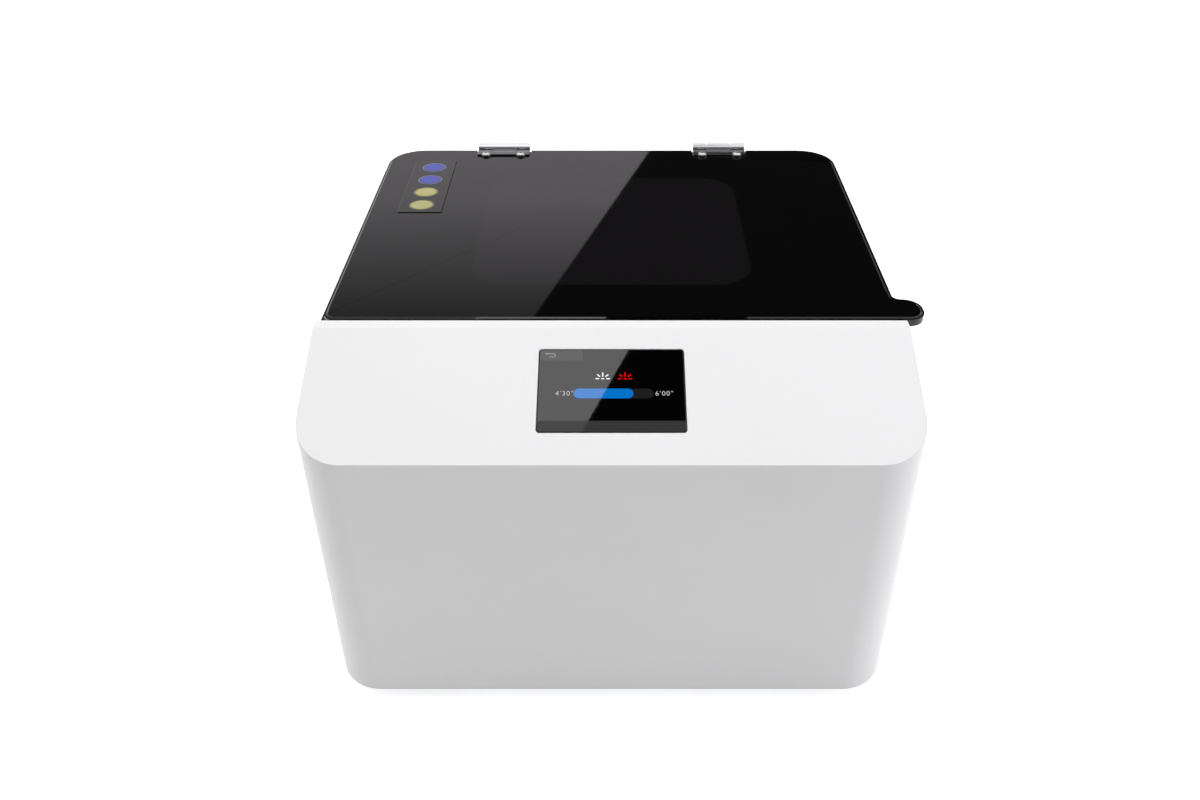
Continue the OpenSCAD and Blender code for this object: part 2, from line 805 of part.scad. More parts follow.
// Relay, processor, driver chips, capacitors and plug row
module control_board_parts() {
    color([0.15, 0.15, 0.16]) place_on_origin() translate([ctrl_x, ctrl_y, base_top_z + standoff_h + pcb_t]) {
        translate([part_in - ctrl_w / 2, part_in - ctrl_d / 2, 0]) cube(relay);
        translate([0, -ctrl_d / 8, 0]) cube(chip);
        for (i = [0:3]) translate([part_in - ctrl_w / 2 + i * driver_step, ctrl_d / 8, 0]) cube(driver);
        for (i = [0:2]) translate([ctrl_w / 2 - part_in, -ctrl_d / 4 + i * cap_step, 0])
            cylinder(d = cap_dia, h = cap_h);
        for (i = [0:3]) translate([part_in - ctrl_w / 2 + i * plug_step, ctrl_d / 2 - part_in, 0]) cube(plug);
    }
}

module board_standoffs() {
    color("goldenrod") place_on_origin() translate([ctrl_x, ctrl_y, base_top_z])
        at_corners(ctrl_hole_x, ctrl_hole_y) difference() {
            cylinder(d = 6, h = standoff_h, $fn = 6);
            translate([0, 0, -bite]) cylinder(d = screw_dia + 2 * screw_play, h = standoff_h + 2 * bite);
        }
}

module board_screws() {
    color("silver") place_on_origin() translate([ctrl_x, ctrl_y, base_top_z + standoff_h + pcb_t])
        at_corners(ctrl_hole_x, ctrl_hole_y) screw(pcb_t + standoff_h / 2 - bite);
}

// Display

module display_glass() {
    color("black") place_on_origin() on_panel() translate([0, screen_mid, -glass_t])
        round_plate(screen_w, screen_h, screen_r, glass_t);
}

module display_lcd() {
    color("dimgray") place_on_origin() on_panel() translate([0, screen_mid, -lcd_low])
        linear_extrude(lcd_t) square([screen_w - 2, screen_h - 2], center = true);
}

module display_bracket() {
    color("silver") place_on_origin() on_panel() translate([0, screen_mid, -lcd_low]) difference() {
        translate([0, 0, -bracket_t]) linear_extrude(bracket_t)
            square([bracket_screw_x + 12, screen_h + 2], center = true);
        at_corners(bracket_screw_x, bracket_screw_y) screw_hole(bracket_t + bite);
        slot(screen_w / 2, 10, bracket_t + bite);
    }
}

module display_spacers() {
    color("goldenrod") place_on_origin() on_panel() translate([0, screen_mid, board_low + pcb_t])
        at_corners(bracket_screw_x, bracket_screw_y) difference() {
            cylinder(d = 6, h = spacer_h);
            translate([0, 0, -bite]) cylinder(d = screw_dia + 2 * screw_play, h = spacer_h + 2 * bite);
        }
}

module display_board() {
    color("darkgreen") place_on_origin() on_panel() translate([0, screen_mid, board_low]) difference() {
        linear_extrude(pcb_t) square([bracket_screw_x + 10, screen_h - 2], center = true);
        at_corners(bracket_screw_x, bracket_screw_y) translate([0, 0, pcb_t]) screw_hole(pcb_t + bite);
    }
}

module display_screws() {
    color("silver") place_on_origin() on_panel() translate([0, screen_mid, board_low])
        at_corners(bracket_screw_x, bracket_screw_y) mirror([0, 0, 1])
            screw(pcb_t + spacer_h + bracket_t + display_bite - bite);
}

// Rear side

module at_fan(s) {
    on_back() translate([s * fan_x, fan_z, -wall - fan_t]) children();
}

module fan_frame(s) {
    bore_r = fan_size / 2 - 2;
    color([0.12, 0.12, 0.13]) place_on_origin() at_fan(s) {
        difference() {
            linear_extrude(fan_t) difference() {
                round_rect(fan_size, fan_size, 4);
                circle(bore_r);
            }
            at_corners(fan_hole_gap, fan_hole_gap) translate([0, 0, fan_t]) screw_hole(fan_t + bite);
        }
        difference() {
            translate([0, 0, fan_t - fan_strut]) linear_extrude(fan_strut) {
                circle(fan_hub_r);
                for (a = [45, 135]) rotate(a) square([2 * bore_r + 2, 4], center = true);
            }
            translate([0, 0, fan_t - fan_strut - bite])
                cylinder(d = fan_axle + 2 * run_play, h = fan_strut + 2 * bite);
        }
    }
}

module fan_rotor(s) {
    hub_top = fan_t - fan_strut - rotor_gap / 2;
    tip_r = fan_size / 2 - 2 - rotor_gap;
    color([0.2, 0.2, 0.21]) place_on_origin() at_fan(s) {
        translate([0, 0, rotor_gap]) cylinder(r = fan_hub_r, h = hub_top - rotor_gap);
        translate([0, 0, hub_top - bite]) cylinder(d = fan_axle, h = fan_strut + bite);
        intersection() {
            translate([0, 0, rotor_gap]) cylinder(r = tip_r, h = hub_top - rotor_gap);
            for (i = [0:fan_blades - 1]) rotate(i * 360 / fan_blades)
                translate([0, 0, (hub_top + rotor_gap) / 2]) rotate([fan_pitch, 0, 0])
                    translate([fan_hub_r - 2, -fan_blade_w / 2, -fan_blade_t / 2])
                        cube([tip_r, fan_blade_w, fan_blade_t]);
        }
    }
}

module fan_screws() {
    color("silver") place_on_origin() on_back() for (s = sides) translate([s * fan_x, fan_z, 0])
        at_corners(fan_hole_gap, fan_hole_gap) screw(wall + fan_t / 2);
}

module socket_outline() {
    w = socket_w / 2;
    h = socket_h / 2;
    polygon([
        [-w, h], [-w, -h + socket_cut], [-w + socket_cut, -h],
        [w - socket_cut, -h], [w, -h + socket_cut], [w, h]
    ]);
}

module power_inlet() {
    color([0.1, 0.1, 0.1]) place_on_origin() on_back() translate([inlet_x, inlet_z, 0]) difference() {
        union() {
            translate([0, 0, -inlet_deep]) linear_extrude(inlet_deep + bite)
                square([inlet_body_w, inlet_body_h], center = true);
            round_plate(inlet_flange_w, inlet_flange_h, 6, inlet_flange_t);
        }
        translate([0, 0, inlet_flange_t - socket_deep]) linear_extrude(socket_deep + bite) socket_outline();
        for (s = sides) translate([s * inlet_hole_gap / 2, 0, inlet_flange_t])
            screw_hole(inlet_flange_t + bite);
    }
}

module inlet_pins() {
    color("silver") place_on_origin() on_back() translate([inlet_x, inlet_z, inlet_flange_t - socket_deep])
        linear_extrude(blade_l) {
            for (s = sides) translate([s * blade_gap / 2, -blade_w / 2])
                square([blade_t, blade_w], center = true);
            translate([0, blade_w / 2]) square([blade_t, blade_w], center = true);
        }
}

module inlet_screws() {
    color("silver") place_on_origin() on_back() for (s = sides)
        translate([inlet_x + s * inlet_hole_gap / 2, inlet_z, inlet_flange_t])
            screw(inlet_flange_t + wall + 2 * bite);
}

module switch_body() {
    pocket_l = 2 * (rocker_r + rocker_gap);
    color([0.1, 0.1, 0.1]) place_on_origin() on_back() translate([switch_x, inlet_z, 0]) difference() {
        union() {
            translate([0, 0, -switch_deep]) linear_extrude(switch_deep + bite)
                square([switch_body_w, switch_body_h], center = true);
            round_plate(switch_body_w + 2 * switch_bezel, switch_body_h + 2 * switch_bezel,
                switch_bezel, switch_bezel_t);
        }
        translate([0, 0, -rocker_in - rocker_r]) linear_extrude(2 * rocker_r)
            square([rocker_w + 2 * rocker_gap, pocket_l], center = true);
        translate([-rocker_pin_l / 2 - run_play, 0, -rocker_in]) rotate([0, 90, 0])
            cylinder(d = rocker_pin + 2 * run_play, h = rocker_pin_l + 2 * run_play);
    }
}

// The rocker leans on its off stop at rest
module switch_rocker() {
    wing = rocker_rise + rocker_r * tan(rocker_swing / 2);
    color([0.18, 0.18, 0.19]) place_on_origin() translate([switch_x, body_d - rocker_in, inlet_z])
        rotate([-rocker_swing / 2, 0, 0]) {
            translate([-rocker_w / 2, 0, 0]) rotate([90, 0, 90]) linear_extrude(rocker_w) intersection() {
                circle(rocker_r);
                polygon([
                    [rocker_rise, 0], [wing, rocker_r], [-rocker_drop, rocker_r],
                    [-rocker_drop, -rocker_r], [wing, -rocker_r]
                ]);
            }
            translate([-rocker_pin_l / 2, 0, 0]) rotate([0, 90, 0])
                cylinder(d = rocker_pin, h = rocker_pin_l);
        }
}

// Lid

module lid_outline() {
    half = lid_w / 2;
    root = min(tab_root_r, tab_reach - tab_rear_r);
    tab_back = lid_front + tab_d;
    difference() {
        union() {
            translate([-half, lid_front + lid_front_r])
                square([lid_w, lid_back - lid_back_r - lid_front - lid_front_r]);
            translate([-half + lid_back_r, lid_front]) square([lid_w - 2 * lid_back_r, lid_back - lid_front]);
            translate([-half + lid_front_r, lid_front]) square([lid_w - lid_front_r, lid_front_r + bite]);
            translate([-half + lid_front_r, lid_front + lid_front_r]) circle(lid_front_r);
            for (x = sides) translate([x * (half - lid_back_r), lid_back - lid_back_r]) circle(lid_back_r);
            translate([0, lid_front]) {
                square([tab_end - tab_rear_r, tab_d]);
                square([tab_end - tab_front_r, tab_d - tab_rear_r]);
                translate([0, tab_front_r]) square([tab_end, tab_d - tab_rear_r - tab_front_r]);
                translate([tab_end - tab_rear_r, tab_d - tab_rear_r]) circle(tab_rear_r);
                translate([tab_end - tab_front_r, tab_front_r]) circle(tab_front_r);
            }
            difference() {
                translate([half - bite, tab_back - bite]) square(root + bite);
                translate([half + root, tab_back + root]) circle(root);
            }
        }
        for (x = sides) translate([x * hinge_x - hinge_w / 2 - 1, notch_y])
            square([hinge_w + 2, 3 * knuckle_dia]);
    }
}

module lid_panel() {
    color([0.05, 0.05, 0.06]) place_on_origin() difference() {
        translate([0, 0, deck_z]) linear_extrude(lid_t) lid_outline();
        at_lid_screws() translate([0, 0, crest_z]) screw_hole(lid_t - 1);
        translate([sensor_x, sensor_y, deck_z - bite])
            cylinder(d = magnet_dia + 2 * run_play, h = magnet_h + bite);
    }
}

module lid_inner_frame() {
    color("black") place_on_origin() translate([0, mouth_y, deck_z - lid_frame_h]) difference() {
        round_plate(mouth_w - 2 * mouth_gap, mouth_d - 2 * mouth_gap, mouth_r - mouth_gap, lid_frame_h);
        translate([0, 0, -bite]) round_plate(window_w, window_d, window_r, lid_frame_h + 2 * bite);
    }
}

module lid_strip() {
    color([0.12, 0.12, 0.13]) place_on_origin()
        translate([strip_side - lid_w / 2 + strip_w / 2, lid_back - strip_back - strip_l / 2, crest_z])
            round_plate(strip_w, strip_l, 1, strip_t);
}

module lid_magnet() {
    color("silver") place_on_origin() translate([sensor_x, sensor_y, deck_z])
        cylinder(d = magnet_dia, h = magnet_h);
}

// Hinges

module at_lid_screws() {
    for (x = sides) for (s = sides)
        translate([x * hinge_x + s * leaf_screw_gap / 2, lid_screw_y, 0]) children();
}

module knuckle(from, to) {
    translate([from, axis_y, axis_z]) rotate([0, 90, 0]) cylinder(d = knuckle_dia, h = to - from);
}

module pin_bore() {
    translate([-hinge_w, axis_y, axis_z]) rotate([0, 90, 0])
        cylinder(d = pin_dia + 2 * run_play, h = 2 * hinge_w);
}

// The lid's leaf ends in the middle knuckle and has an ear under each screw head
module hinge_lid_leaf(s) {
    mid = (knuckle_mid_w - knuckle_gap) / 2;
    front = lid_screw_y - bite;
    color("silver") place_on_origin() translate([s * hinge_x, 0, 0]) difference() {
        union() {
            translate([0, 0, crest_z]) linear_extrude(leaf_t) {
                translate([-hinge_w / 2, front]) square([hinge_w, leaf_gap_y - front]);
                translate([-mid, front]) square([2 * mid, axis_y - front]);
                for (e = sides) translate([e * leaf_screw_gap / 2, lid_screw_y]) circle(ear_r);
            }
            knuckle(-mid, mid);
        }
        for (e = sides) translate([e * leaf_screw_gap / 2, lid_screw_y, crest_z + leaf_t])
            screw_hole(leaf_t + bite);
        pin_bore();
    }
}

// The leaf on the housing's back ends in the two outer knuckles
module hinge_back_leaf(s) {
    mid = (knuckle_mid_w + knuckle_gap) / 2;
    low = crest_z - back_leaf_h;
    color("silver") place_on_origin() translate([s * hinge_x, 0, 0]) difference() {
        union() {
            translate([-hinge_w / 2, body_d, low])
                cube([hinge_w, leaf_t, axis_z - knuckle_dia / 2 - knuckle_gap - low]);
            for (e = sides) translate([e > 0 ? mid : -hinge_w / 2, body_d, low])
                cube([hinge_w / 2 - mid, leaf_t, axis_z - low]);
            knuckle(-hinge_w / 2, -mid);
            knuckle(mid, hinge_w / 2);
        }
        for (e = sides) translate([e * leaf_screw_gap / 2, body_d + leaf_t, back_screw_z])
            rotate([-90, 0, 0]) screw_hole(leaf_t + bite);
        pin_bore();
    }
}

module hinge_pins() {
    color("gray") place_on_origin() for (s = sides) translate([s * hinge_x - hinge_w / 2, axis_y, axis_z])
        rotate([0, 90, 0]) cylinder(d = pin_dia, h = hinge_w);
}

module lid_hinge_screws() {
    color("silver") place_on_origin() at_lid_screws() translate([0, 0, crest_z + leaf_t])
        screw(leaf_t + lid_t - 1 - bite);
}

module back_hinge_screws() {
    color("silver") place_on_origin() on_back() for (x = sides) for (s = sides)
        translate([x * hinge_x + s * leaf_screw_gap / 2, back_screw_z, leaf_t])
            screw(leaf_t + wall + 2 * bite);
}

housing_shell();
base_plate();
rubber_feet();
foot_screws();
base_screws();
top_deck();
deck_screws();
chamber_gasket();
chamber_liner();
liner_screws();
led_windows();
led_emitters();
led_board(0);  // led_board_right
led_board(1);  // led_board_rear
led_board(2);  // led_board_left
led_board(3);  // led_board_front
heat_sink(0);  // heat_sink_right
heat_sink(1);  // heat_sink_rear
heat_sink(2);  // heat_sink_left
heat_sink(3);  // heat_sink_front
heat_sink_screws();
turntable_plate();
turntable_hub();
turntable_shaft();
turntable_motor();
motor_screws();
power_supply();
power_supply_parts();
control_board();
control_board_parts();
board_standoffs();
board_screws();
display_glass();
display_lcd();
display_bracket();
display_spacers();
display_board();
display_screws();
fan_frame(1);  // fan_frame_right
fan_frame(-1);  // fan_frame_left
fan_rotor(1);  // fan_rotor_right
fan_rotor(-1);  // fan_rotor_left
fan_screws();
power_inlet();
inlet_pins();
inlet_screws();
switch_body();
switch_rocker();
lid_panel();
lid_inner_frame();
lid_strip();
lid_magnet();
lid_sensor();
hinge_lid_leaf(1);  // hinge_lid_leaf_right
hinge_lid_leaf(-1);  // hinge_lid_leaf_left
hinge_back_leaf(1);  // hinge_back_leaf_right
hinge_back_leaf(-1);  // hinge_back_leaf_left
hinge_pins();
lid_hinge_screws();
back_hinge_screws();
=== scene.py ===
import json
import math

import bmesh
import bpy
from mathutils import Matrix, Vector

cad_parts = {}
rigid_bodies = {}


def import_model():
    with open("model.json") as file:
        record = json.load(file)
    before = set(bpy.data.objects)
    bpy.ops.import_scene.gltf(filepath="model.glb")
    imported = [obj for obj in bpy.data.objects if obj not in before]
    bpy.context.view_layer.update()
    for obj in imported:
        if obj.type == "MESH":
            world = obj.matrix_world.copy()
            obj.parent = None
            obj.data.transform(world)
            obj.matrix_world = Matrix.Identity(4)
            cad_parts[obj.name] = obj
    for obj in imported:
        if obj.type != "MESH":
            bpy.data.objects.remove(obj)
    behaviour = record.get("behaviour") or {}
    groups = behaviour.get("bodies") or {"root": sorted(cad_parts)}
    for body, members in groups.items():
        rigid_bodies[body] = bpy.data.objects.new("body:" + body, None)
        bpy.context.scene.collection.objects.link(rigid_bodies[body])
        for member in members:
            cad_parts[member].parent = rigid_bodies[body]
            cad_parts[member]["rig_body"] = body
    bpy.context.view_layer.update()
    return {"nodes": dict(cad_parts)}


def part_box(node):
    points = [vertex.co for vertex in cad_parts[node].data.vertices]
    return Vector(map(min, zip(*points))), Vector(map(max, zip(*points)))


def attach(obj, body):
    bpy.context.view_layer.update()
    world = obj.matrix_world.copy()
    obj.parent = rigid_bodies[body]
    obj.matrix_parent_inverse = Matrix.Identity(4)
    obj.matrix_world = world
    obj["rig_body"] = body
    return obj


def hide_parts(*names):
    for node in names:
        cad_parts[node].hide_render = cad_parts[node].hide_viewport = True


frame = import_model()
cadNodes = frame["nodes"]
scene = bpy.context.scene
mm = 0.001
sameHeight = 0.01 * mm  # points nearer than this lie on one level
weldWithin = 0.001 * mm

# The unit's own axes: middle of the housing, its front face, and the lid's top
shellLow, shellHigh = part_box("housing_shell")
lidLow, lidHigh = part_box("lid_panel")
middleX = (shellLow.x + shellHigh.x) / 2
frontY = shellLow.y
lidTop = lidHigh.z
print("frame loaded:", len(cadNodes), "nodes")


# Camera, at the photograph's place and angle

photoView = {"before": 394.4 * mm, "height": 487.6 * mm, "lookDown": 35.26,
             "lens": 31.755, "sensor": 36, "shiftX": -0.00958}


def placeCamera(view):
    data = bpy.data.cameras.new("photo_camera")
    data.lens = view["lens"]
    data.sensor_width = view["sensor"]
    data.shift_x = view["shiftX"]
    camera = bpy.data.objects.new("photo_camera", data)
    camera.location = (middleX, frontY - view["before"], view["height"])
    camera.rotation_euler = (math.radians(90 - view["lookDown"]), 0, 0)
    scene.collection.objects.link(camera)
    scene.camera = camera


placeCamera(photoView)
scene.view_settings.view_transform = "Standard"


# Small helpers for objects and node trees

def link(obj):
    scene.collection.objects.link(obj)
    return obj


def addNode(tree, kind, settings=None, inputs=None):
    node = tree.nodes.new(kind)
    for key, value in (settings or {}).items():
        setattr(node, key, value)
    for key, value in (inputs or {}).items():
        if hasattr(value, "node"):
            tree.links.new(value, node.inputs[key])
        else:
            node.inputs[key].default_value = value
    return node


def vectorMath(tree, operation, *inputs):
    return addNode(tree, "ShaderNodeVectorMath", {"operation": operation}, dict(enumerate(inputs)))


def grey(level):
    return (level, level, level, 1)


def rgb(red, green, blue):
    return (red, green, blue, 1)


# Finishes. Each one has broad colour drift, a finer grain in its roughness and a bump of that grain

def finish(name, color, roughness, metallic=0.0, drift=0.05, driftSize=40, grainSize=900,
           grainSpread=0.06, bump=0.05, bumpDepth=0.05 * mm, stretch=(1, 1, 1), **sockets):
    material = bpy.data.materials.new(name)
    material.use_nodes = True
    tree = material.node_tree
    shader = tree.nodes["Principled BSDF"]
    place = addNode(tree, "ShaderNodeTexCoord")
    stretched = addNode(tree, "ShaderNodeMapping",
                        inputs={"Vector": place.outputs["Object"], "Scale": stretch})
    broad = addNode(tree, "ShaderNodeTexNoise",
                    inputs={"Vector": stretched.outputs[0], "Scale": driftSize, "Detail": 3})
    fine = addNode(tree, "ShaderNodeTexNoise",
                   inputs={"Vector": stretched.outputs[0], "Scale": grainSize, "Detail": 2})
    ramp = addNode(tree, "ShaderNodeValToRGB", inputs={"Fac": broad.outputs[0]})
    ramp.color_ramp.elements[0].position = 0.3
    ramp.color_ramp.elements[1].position = 0.7
    ramp.color_ramp.elements[0].color = [min(1, c * (1 - drift)) for c in color[:3]] + [1]
    ramp.color_ramp.elements[1].color = [min(1, c * (1 + drift)) for c in color[:3]] + [1]
    tree.links.new(ramp.outputs[0], shader.inputs["Base Color"])
    spread = addNode(tree, "ShaderNodeMapRange", inputs={
        "Value": fine.outputs[0], "From Min": 0.3, "From Max": 0.7,
        "To Min": max(0, roughness - grainSpread), "To Max": min(1, roughness + grainSpread)})
    tree.links.new(spread.outputs[0], shader.inputs["Roughness"])
    relief = addNode(tree, "ShaderNodeBump",
                     inputs={"Height": fine.outputs[0], "Strength": bump, "Distance": bumpDepth})
    tree.links.new(relief.outputs[0], shader.inputs["Normal"])
    shader.inputs["Metallic"].default_value = metallic
    for key, value in sockets.items():
        shader.inputs[key].default_value = value
    return material


def glass(name, color, roughness, **sockets):
    return finish(name, color, roughness, drift=0.01, grainSpread=roughness, bump=0.02,
                  **{"Transmission Weight": 1.0, "IOR": 1.5, **sockets})


finishes = {
    "housing_white": finish("white_powder_coat", rgb(0.79, 0.787, 0.793), 0.40, drift=0.008, driftSize=9,
                            grainSize=1500, grainSpread=0.04, bump=0.12, bumpDepth=0.02 * mm),
    "deck_black": finish("gloss_black_deck", grey(0.010), 0.10, drift=0.1, grainSpread=0.04, bump=0.03),
    "soft_black": finish("soft_black_rubber", grey(0.022), 0.78, drift=0.2, grainSize=1800, bump=0.35),
    "hinge_steel": finish("brushed_hinge_steel", rgb(0.82, 0.805, 0.83), 0.12, metallic=1.0, drift=0.06,
                          driftSize=1400, grainSize=3600, grainSpread=0.05, bump=0.10, bumpDepth=0.02 * mm,
                          stretch=(0.05, 1, 1)),
    "screw_steel": finish("polished_screw_steel", rgb(0.80, 0.80, 0.81), 0.12, metallic=1.0, drift=0.04,
                          driftSize=400, grainSize=2000, grainSpread=0.04, bump=0.05, bumpDepth=0.02 * mm),
    "base_steel": finish("zinc_plated_sheet", rgb(0.52, 0.53, 0.55), 0.38, metallic=1.0, drift=0.14,
                         driftSize=70, grainSize=500, bump=0.12),
    "liner_mirror": finish("mirror_aluminium", rgb(0.86, 0.87, 0.88), 0.08, metallic=1.0, drift=0.02,
                           driftSize=18, grainSize=70, grainSpread=0.03, bump=0.05, bumpDepth=0.3 * mm),
    "sink_aluminium": finish("extruded_aluminium", rgb(0.60, 0.61, 0.63), 0.36, metallic=1.0, drift=0.06,
                             driftSize=60, grainSize=1400, bump=0.2, stretch=(1, 1, 0.05)),
    "pane_glass": glass("clear_pane", rgb(0.93, 0.97, 0.98), 0.01),
    "table_glass": glass("frosted_table_glass", rgb(0.86, 0.93, 0.91), 0.16),
    "screen_glass": finish("screen_black_glass", grey(0.0008), 0.02, drift=0.05, grainSpread=0.01, bump=0.002,
                           driftSize=80, **{"IOR": 1.52}),
    "board_green": finish("green_circuit_board", rgb(0.010, 0.10, 0.035), 0.42, drift=0.35, driftSize=220,
                          grainSize=900, bump=0.3),
    "board_white": finish("white_led_board", rgb(0.78, 0.79, 0.77), 0.35, drift=0.03, driftSize=180,
                          bump=0.15),
    "led_resin": finish("clear_led_resin", rgb(0.72, 0.66, 0.34), 0.18, drift=0.15, driftSize=400, bump=0.05,
                        **{"Coat Weight": 0.6}),
    "black_plastic": finish("moulded_black_plastic", grey(0.018), 0.48, drift=0.15, grainSize=1600, bump=0.4),
    "grey_plastic": finish("moulded_grey_plastic", grey(0.055), 0.50, drift=0.10, grainSize=1600, bump=0.4),
    "motor_metal": finish("motor_can_metal", rgb(0.50, 0.50, 0.51), 0.32, metallic=1.0, drift=0.08,
                          driftSize=120, grainSize=1500, bump=0.2, stretch=(1, 1, 0.1)),
    "brass_metal": finish("turned_brass", rgb(0.72, 0.50, 0.20), 0.28, metallic=1.0, drift=0.08,
                          driftSize=300, grainSize=1800, bump=0.15),
    "parts_mixed": finish("component_black", rgb(0.035, 0.035, 0.040), 0.45, drift=0.45, driftSize=55,
                          grainSize=1100, bump=0.3),
}


# A second colour blended over a finish, where share is 1

def blendOver(material, share, color):
    tree = material.node_tree
    base = tree.nodes["Principled BSDF"].inputs["Base Color"]
    blend = addNode(tree, "ShaderNodeMix", {"data_type": "RGBA"})
    tree.links.new(share, blend.inputs["Factor"])
    tree.links.new(base.links[0].from_socket, blend.inputs["A"])
    blend.inputs["B"].default_value = color
    tree.links.new(blend.outputs["Result"], base)
    return material


# The lid's smoked acrylic is painted a little lighter over the window that its frame leaves open, as painted
# light standing in for what is seen through the sheet there

# window is the painted see-through tone, dark is the sheet's own colour over the frame
lidSheet = {"dark": rgb(0.0016, 0.0014, 0.0016), "window": rgb(0.0052, 0.0046, 0.0052), "roughness": 0.022,
            "blur": 1.2 * mm}
windowLow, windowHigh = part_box("lid_inner_frame")
windowShape = {"centre": (windowLow + windowHigh) / 2, "half": Vector((80, 73, 0)) * mm, "corner": 22 * mm}


def lidAcrylic(values, shape):
    material = finish("smoked_lid_acrylic", values["dark"], values["roughness"], drift=0.1, driftSize=14,
                      grainSize=2200, grainSpread=0.012, bump=0.008, **{"IOR": 1.49})
    tree = material.node_tree
    place = addNode(tree, "ShaderNodeTexCoord")
    fromCentre = vectorMath(tree, "SUBTRACT", place.outputs["Object"], shape["centre"])
    unsigned = vectorMath(tree, "ABSOLUTE", fromCentre.outputs[0])
    core = Vector((shape["half"].x - shape["corner"], shape["half"].y - shape["corner"], 1))
    beyond = vectorMath(tree, "SUBTRACT", unsigned.outputs[0], core)
    outside = vectorMath(tree, "MAXIMUM", beyond.outputs[0], (0, 0, 0))
    reach = vectorMath(tree, "LENGTH", outside.outputs[0])
    # painted light: the lighter window tone, fading out over the blur at its rounded edge
    seenThroughShare = addNode(tree, "ShaderNodeMapRange", inputs={
        "Value": reach.outputs["Value"], "From Min": shape["corner"] - values["blur"],
        "From Max": shape["corner"], "To Min": 1.0, "To Max": 0.0})
    return blendOver(material, seenThroughShare.outputs[0], values["window"])


finishes["lid_black"] = lidAcrylic(lidSheet, windowShape)


# The hinge plates are a darker steel than the knuckles, and a painted shade darkens them further towards the
# knuckle, in the corner where they meet

def hingePlate(values):
    material = finish("hinge_plate_steel_painted_shade", grey(values["front"]), 0.16, metallic=1.0, drift=0.06,
                      driftSize=1400, grainSize=3600, grainSpread=0.05, bump=0.10, bumpDepth=0.02 * mm,
                      stretch=(0.05, 1, 1))
    tree = material.node_tree
    place = addNode(tree, "ShaderNodeTexCoord")
    parts = addNode(tree, "ShaderNodeSeparateXYZ", inputs={0: place.outputs["Object"]})
    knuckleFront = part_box("hinge_pins")[0].y
    # painted shade: the plate's colour darkens over the last few mm before the knuckle, where the knuckle
    # shades it
    share = addNode(tree, "ShaderNodeMapRange", inputs={
        "Value": parts.outputs["Y"], "From Min": knuckleFront - values["reach"],
        "From Max": knuckleFront, "To Min": 0.0, "To Max": 1.0})
    return blendOver(material, share.outputs[0], grey(values["corner"]))


# front is the plate's own grey; corner and reach give the colour and spread of the painted shade by the
# knuckle
plateSteelAndShade = {"front": 0.20, "corner": 0.04, "reach": 6 * mm, "beyondAxis": 3.1 * mm}
hingePlateSteelWithPaintedShade = hingePlate(plateSteelAndShade)
hingeBackSteel = finish("hinge_back_steel", rgb(0.50, 0.495, 0.505), 0.30, metallic=1.0, drift=0.10,
                        driftSize=500, grainSize=3600, grainSpread=0.08, bump=0.15, bumpDepth=0.03 * mm,
                        stretch=(1, 1, 0.04))
finishes["strip_black"] = finish("printed_strip_black", grey(0.009), 0.10, drift=0.1, driftSize=90, bump=0.03)
print("finishes made:", len(finishes))


# Every CAD node first gets the finish of its slot

def coatCadNodes():
    for node in cadNodes.values():
        for slot in node.material_slots:
            slot.material = finishes[slot.material.name.split(".")[0]]


slotOf = {name: node.material_slots[0].material.name.split(".")[0] for name, node in cadNodes.items()}
coatCadNodes()


# Dressed copies of CAD nodes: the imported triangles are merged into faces, then the edges get their rounding

def mergedMesh(node, flatWithin=0.4):
    mesh = bmesh.new()
    mesh.from_mesh(cadNodes[node].data)
    bmesh.ops.remove_doubles(mesh, verts=mesh.verts, dist=weldWithin)
    bmesh.ops.dissolve_limit(mesh, angle_limit=math.radians(flatWithin), verts=mesh.verts, edges=mesh.edges)
    return mesh


def middleOf(edge):
    return (edge.verts[0].co + edge.verts[1].co) / 2


def meetsWall(edge, upright=0.1):
    return any(abs(f.normal.z) < upright for f in edge.link_faces)


def roundEdges(mesh, width, segments, wanted, sharper=12, clamp=True, profile=0.5):
    edges = [e for e in mesh.edges if len(e.link_faces) == 2 and e.is_convex
             and e.calc_face_angle() > math.radians(sharper) and wanted(e)]
    bmesh.ops.bevel(mesh, geom=edges, offset=width, offset_type="OFFSET", segments=segments, profile=profile,
                    affect="EDGES", clamp_overlap=clamp, loop_slide=True)
    return len(edges)


def meshObject(name, mesh, *materials):
    data = bpy.data.meshes.new(name)
    mesh.to_mesh(data)
    mesh.free()
    for material in materials:
        data.materials.append(material)
    return link(bpy.data.objects.new(name, data))


def smooth(piece, angle=32):
    piece.data.shade_smooth()
    piece.data.set_sharp_from_angle(angle=math.radians(angle))
    weighted = piece.modifiers.new("even_shading", "WEIGHTED_NORMAL")
    weighted.keep_sharp = True
    return piece


def settle(piece, node):
    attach(piece, cadNodes[node]["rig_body"])
    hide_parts(node)
    return piece


def dressNode(node, name, width, segments=2, angle=35):
    mesh = mergedMesh(node)
    piece = meshObject(name, mesh, finishes[slotOf[node]])
    if node.startswith("hinge_"):
        axis = (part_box("hinge_pins")[0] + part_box("hinge_pins")[1]) / 2
        onLid = node.startswith("hinge_lid")
        # lid plates take the steel that carries the painted shade by the knuckle
        piece.data.materials.append(hingePlateSteelWithPaintedShade if onLid else hingeBackSteel)
        for face in piece.data.polygons:
            reach = axis.y - face.center.y if onLid else axis.z - face.center.z
            face.material_index = int(reach > plateSteelAndShade["beyondAxis"])
    bevel = piece.modifiers.new("edge_round", "BEVEL")
    bevel.width = width
    bevel.segments = segments
    bevel.limit_method = "ANGLE"
    bevel.angle_limit = math.radians(angle)
    bevel.use_clamp_overlap = True
    return settle(smooth(piece), node)


# Housing: soft edges where the tilted panel and the crest meet the walls, small ones elsewhere

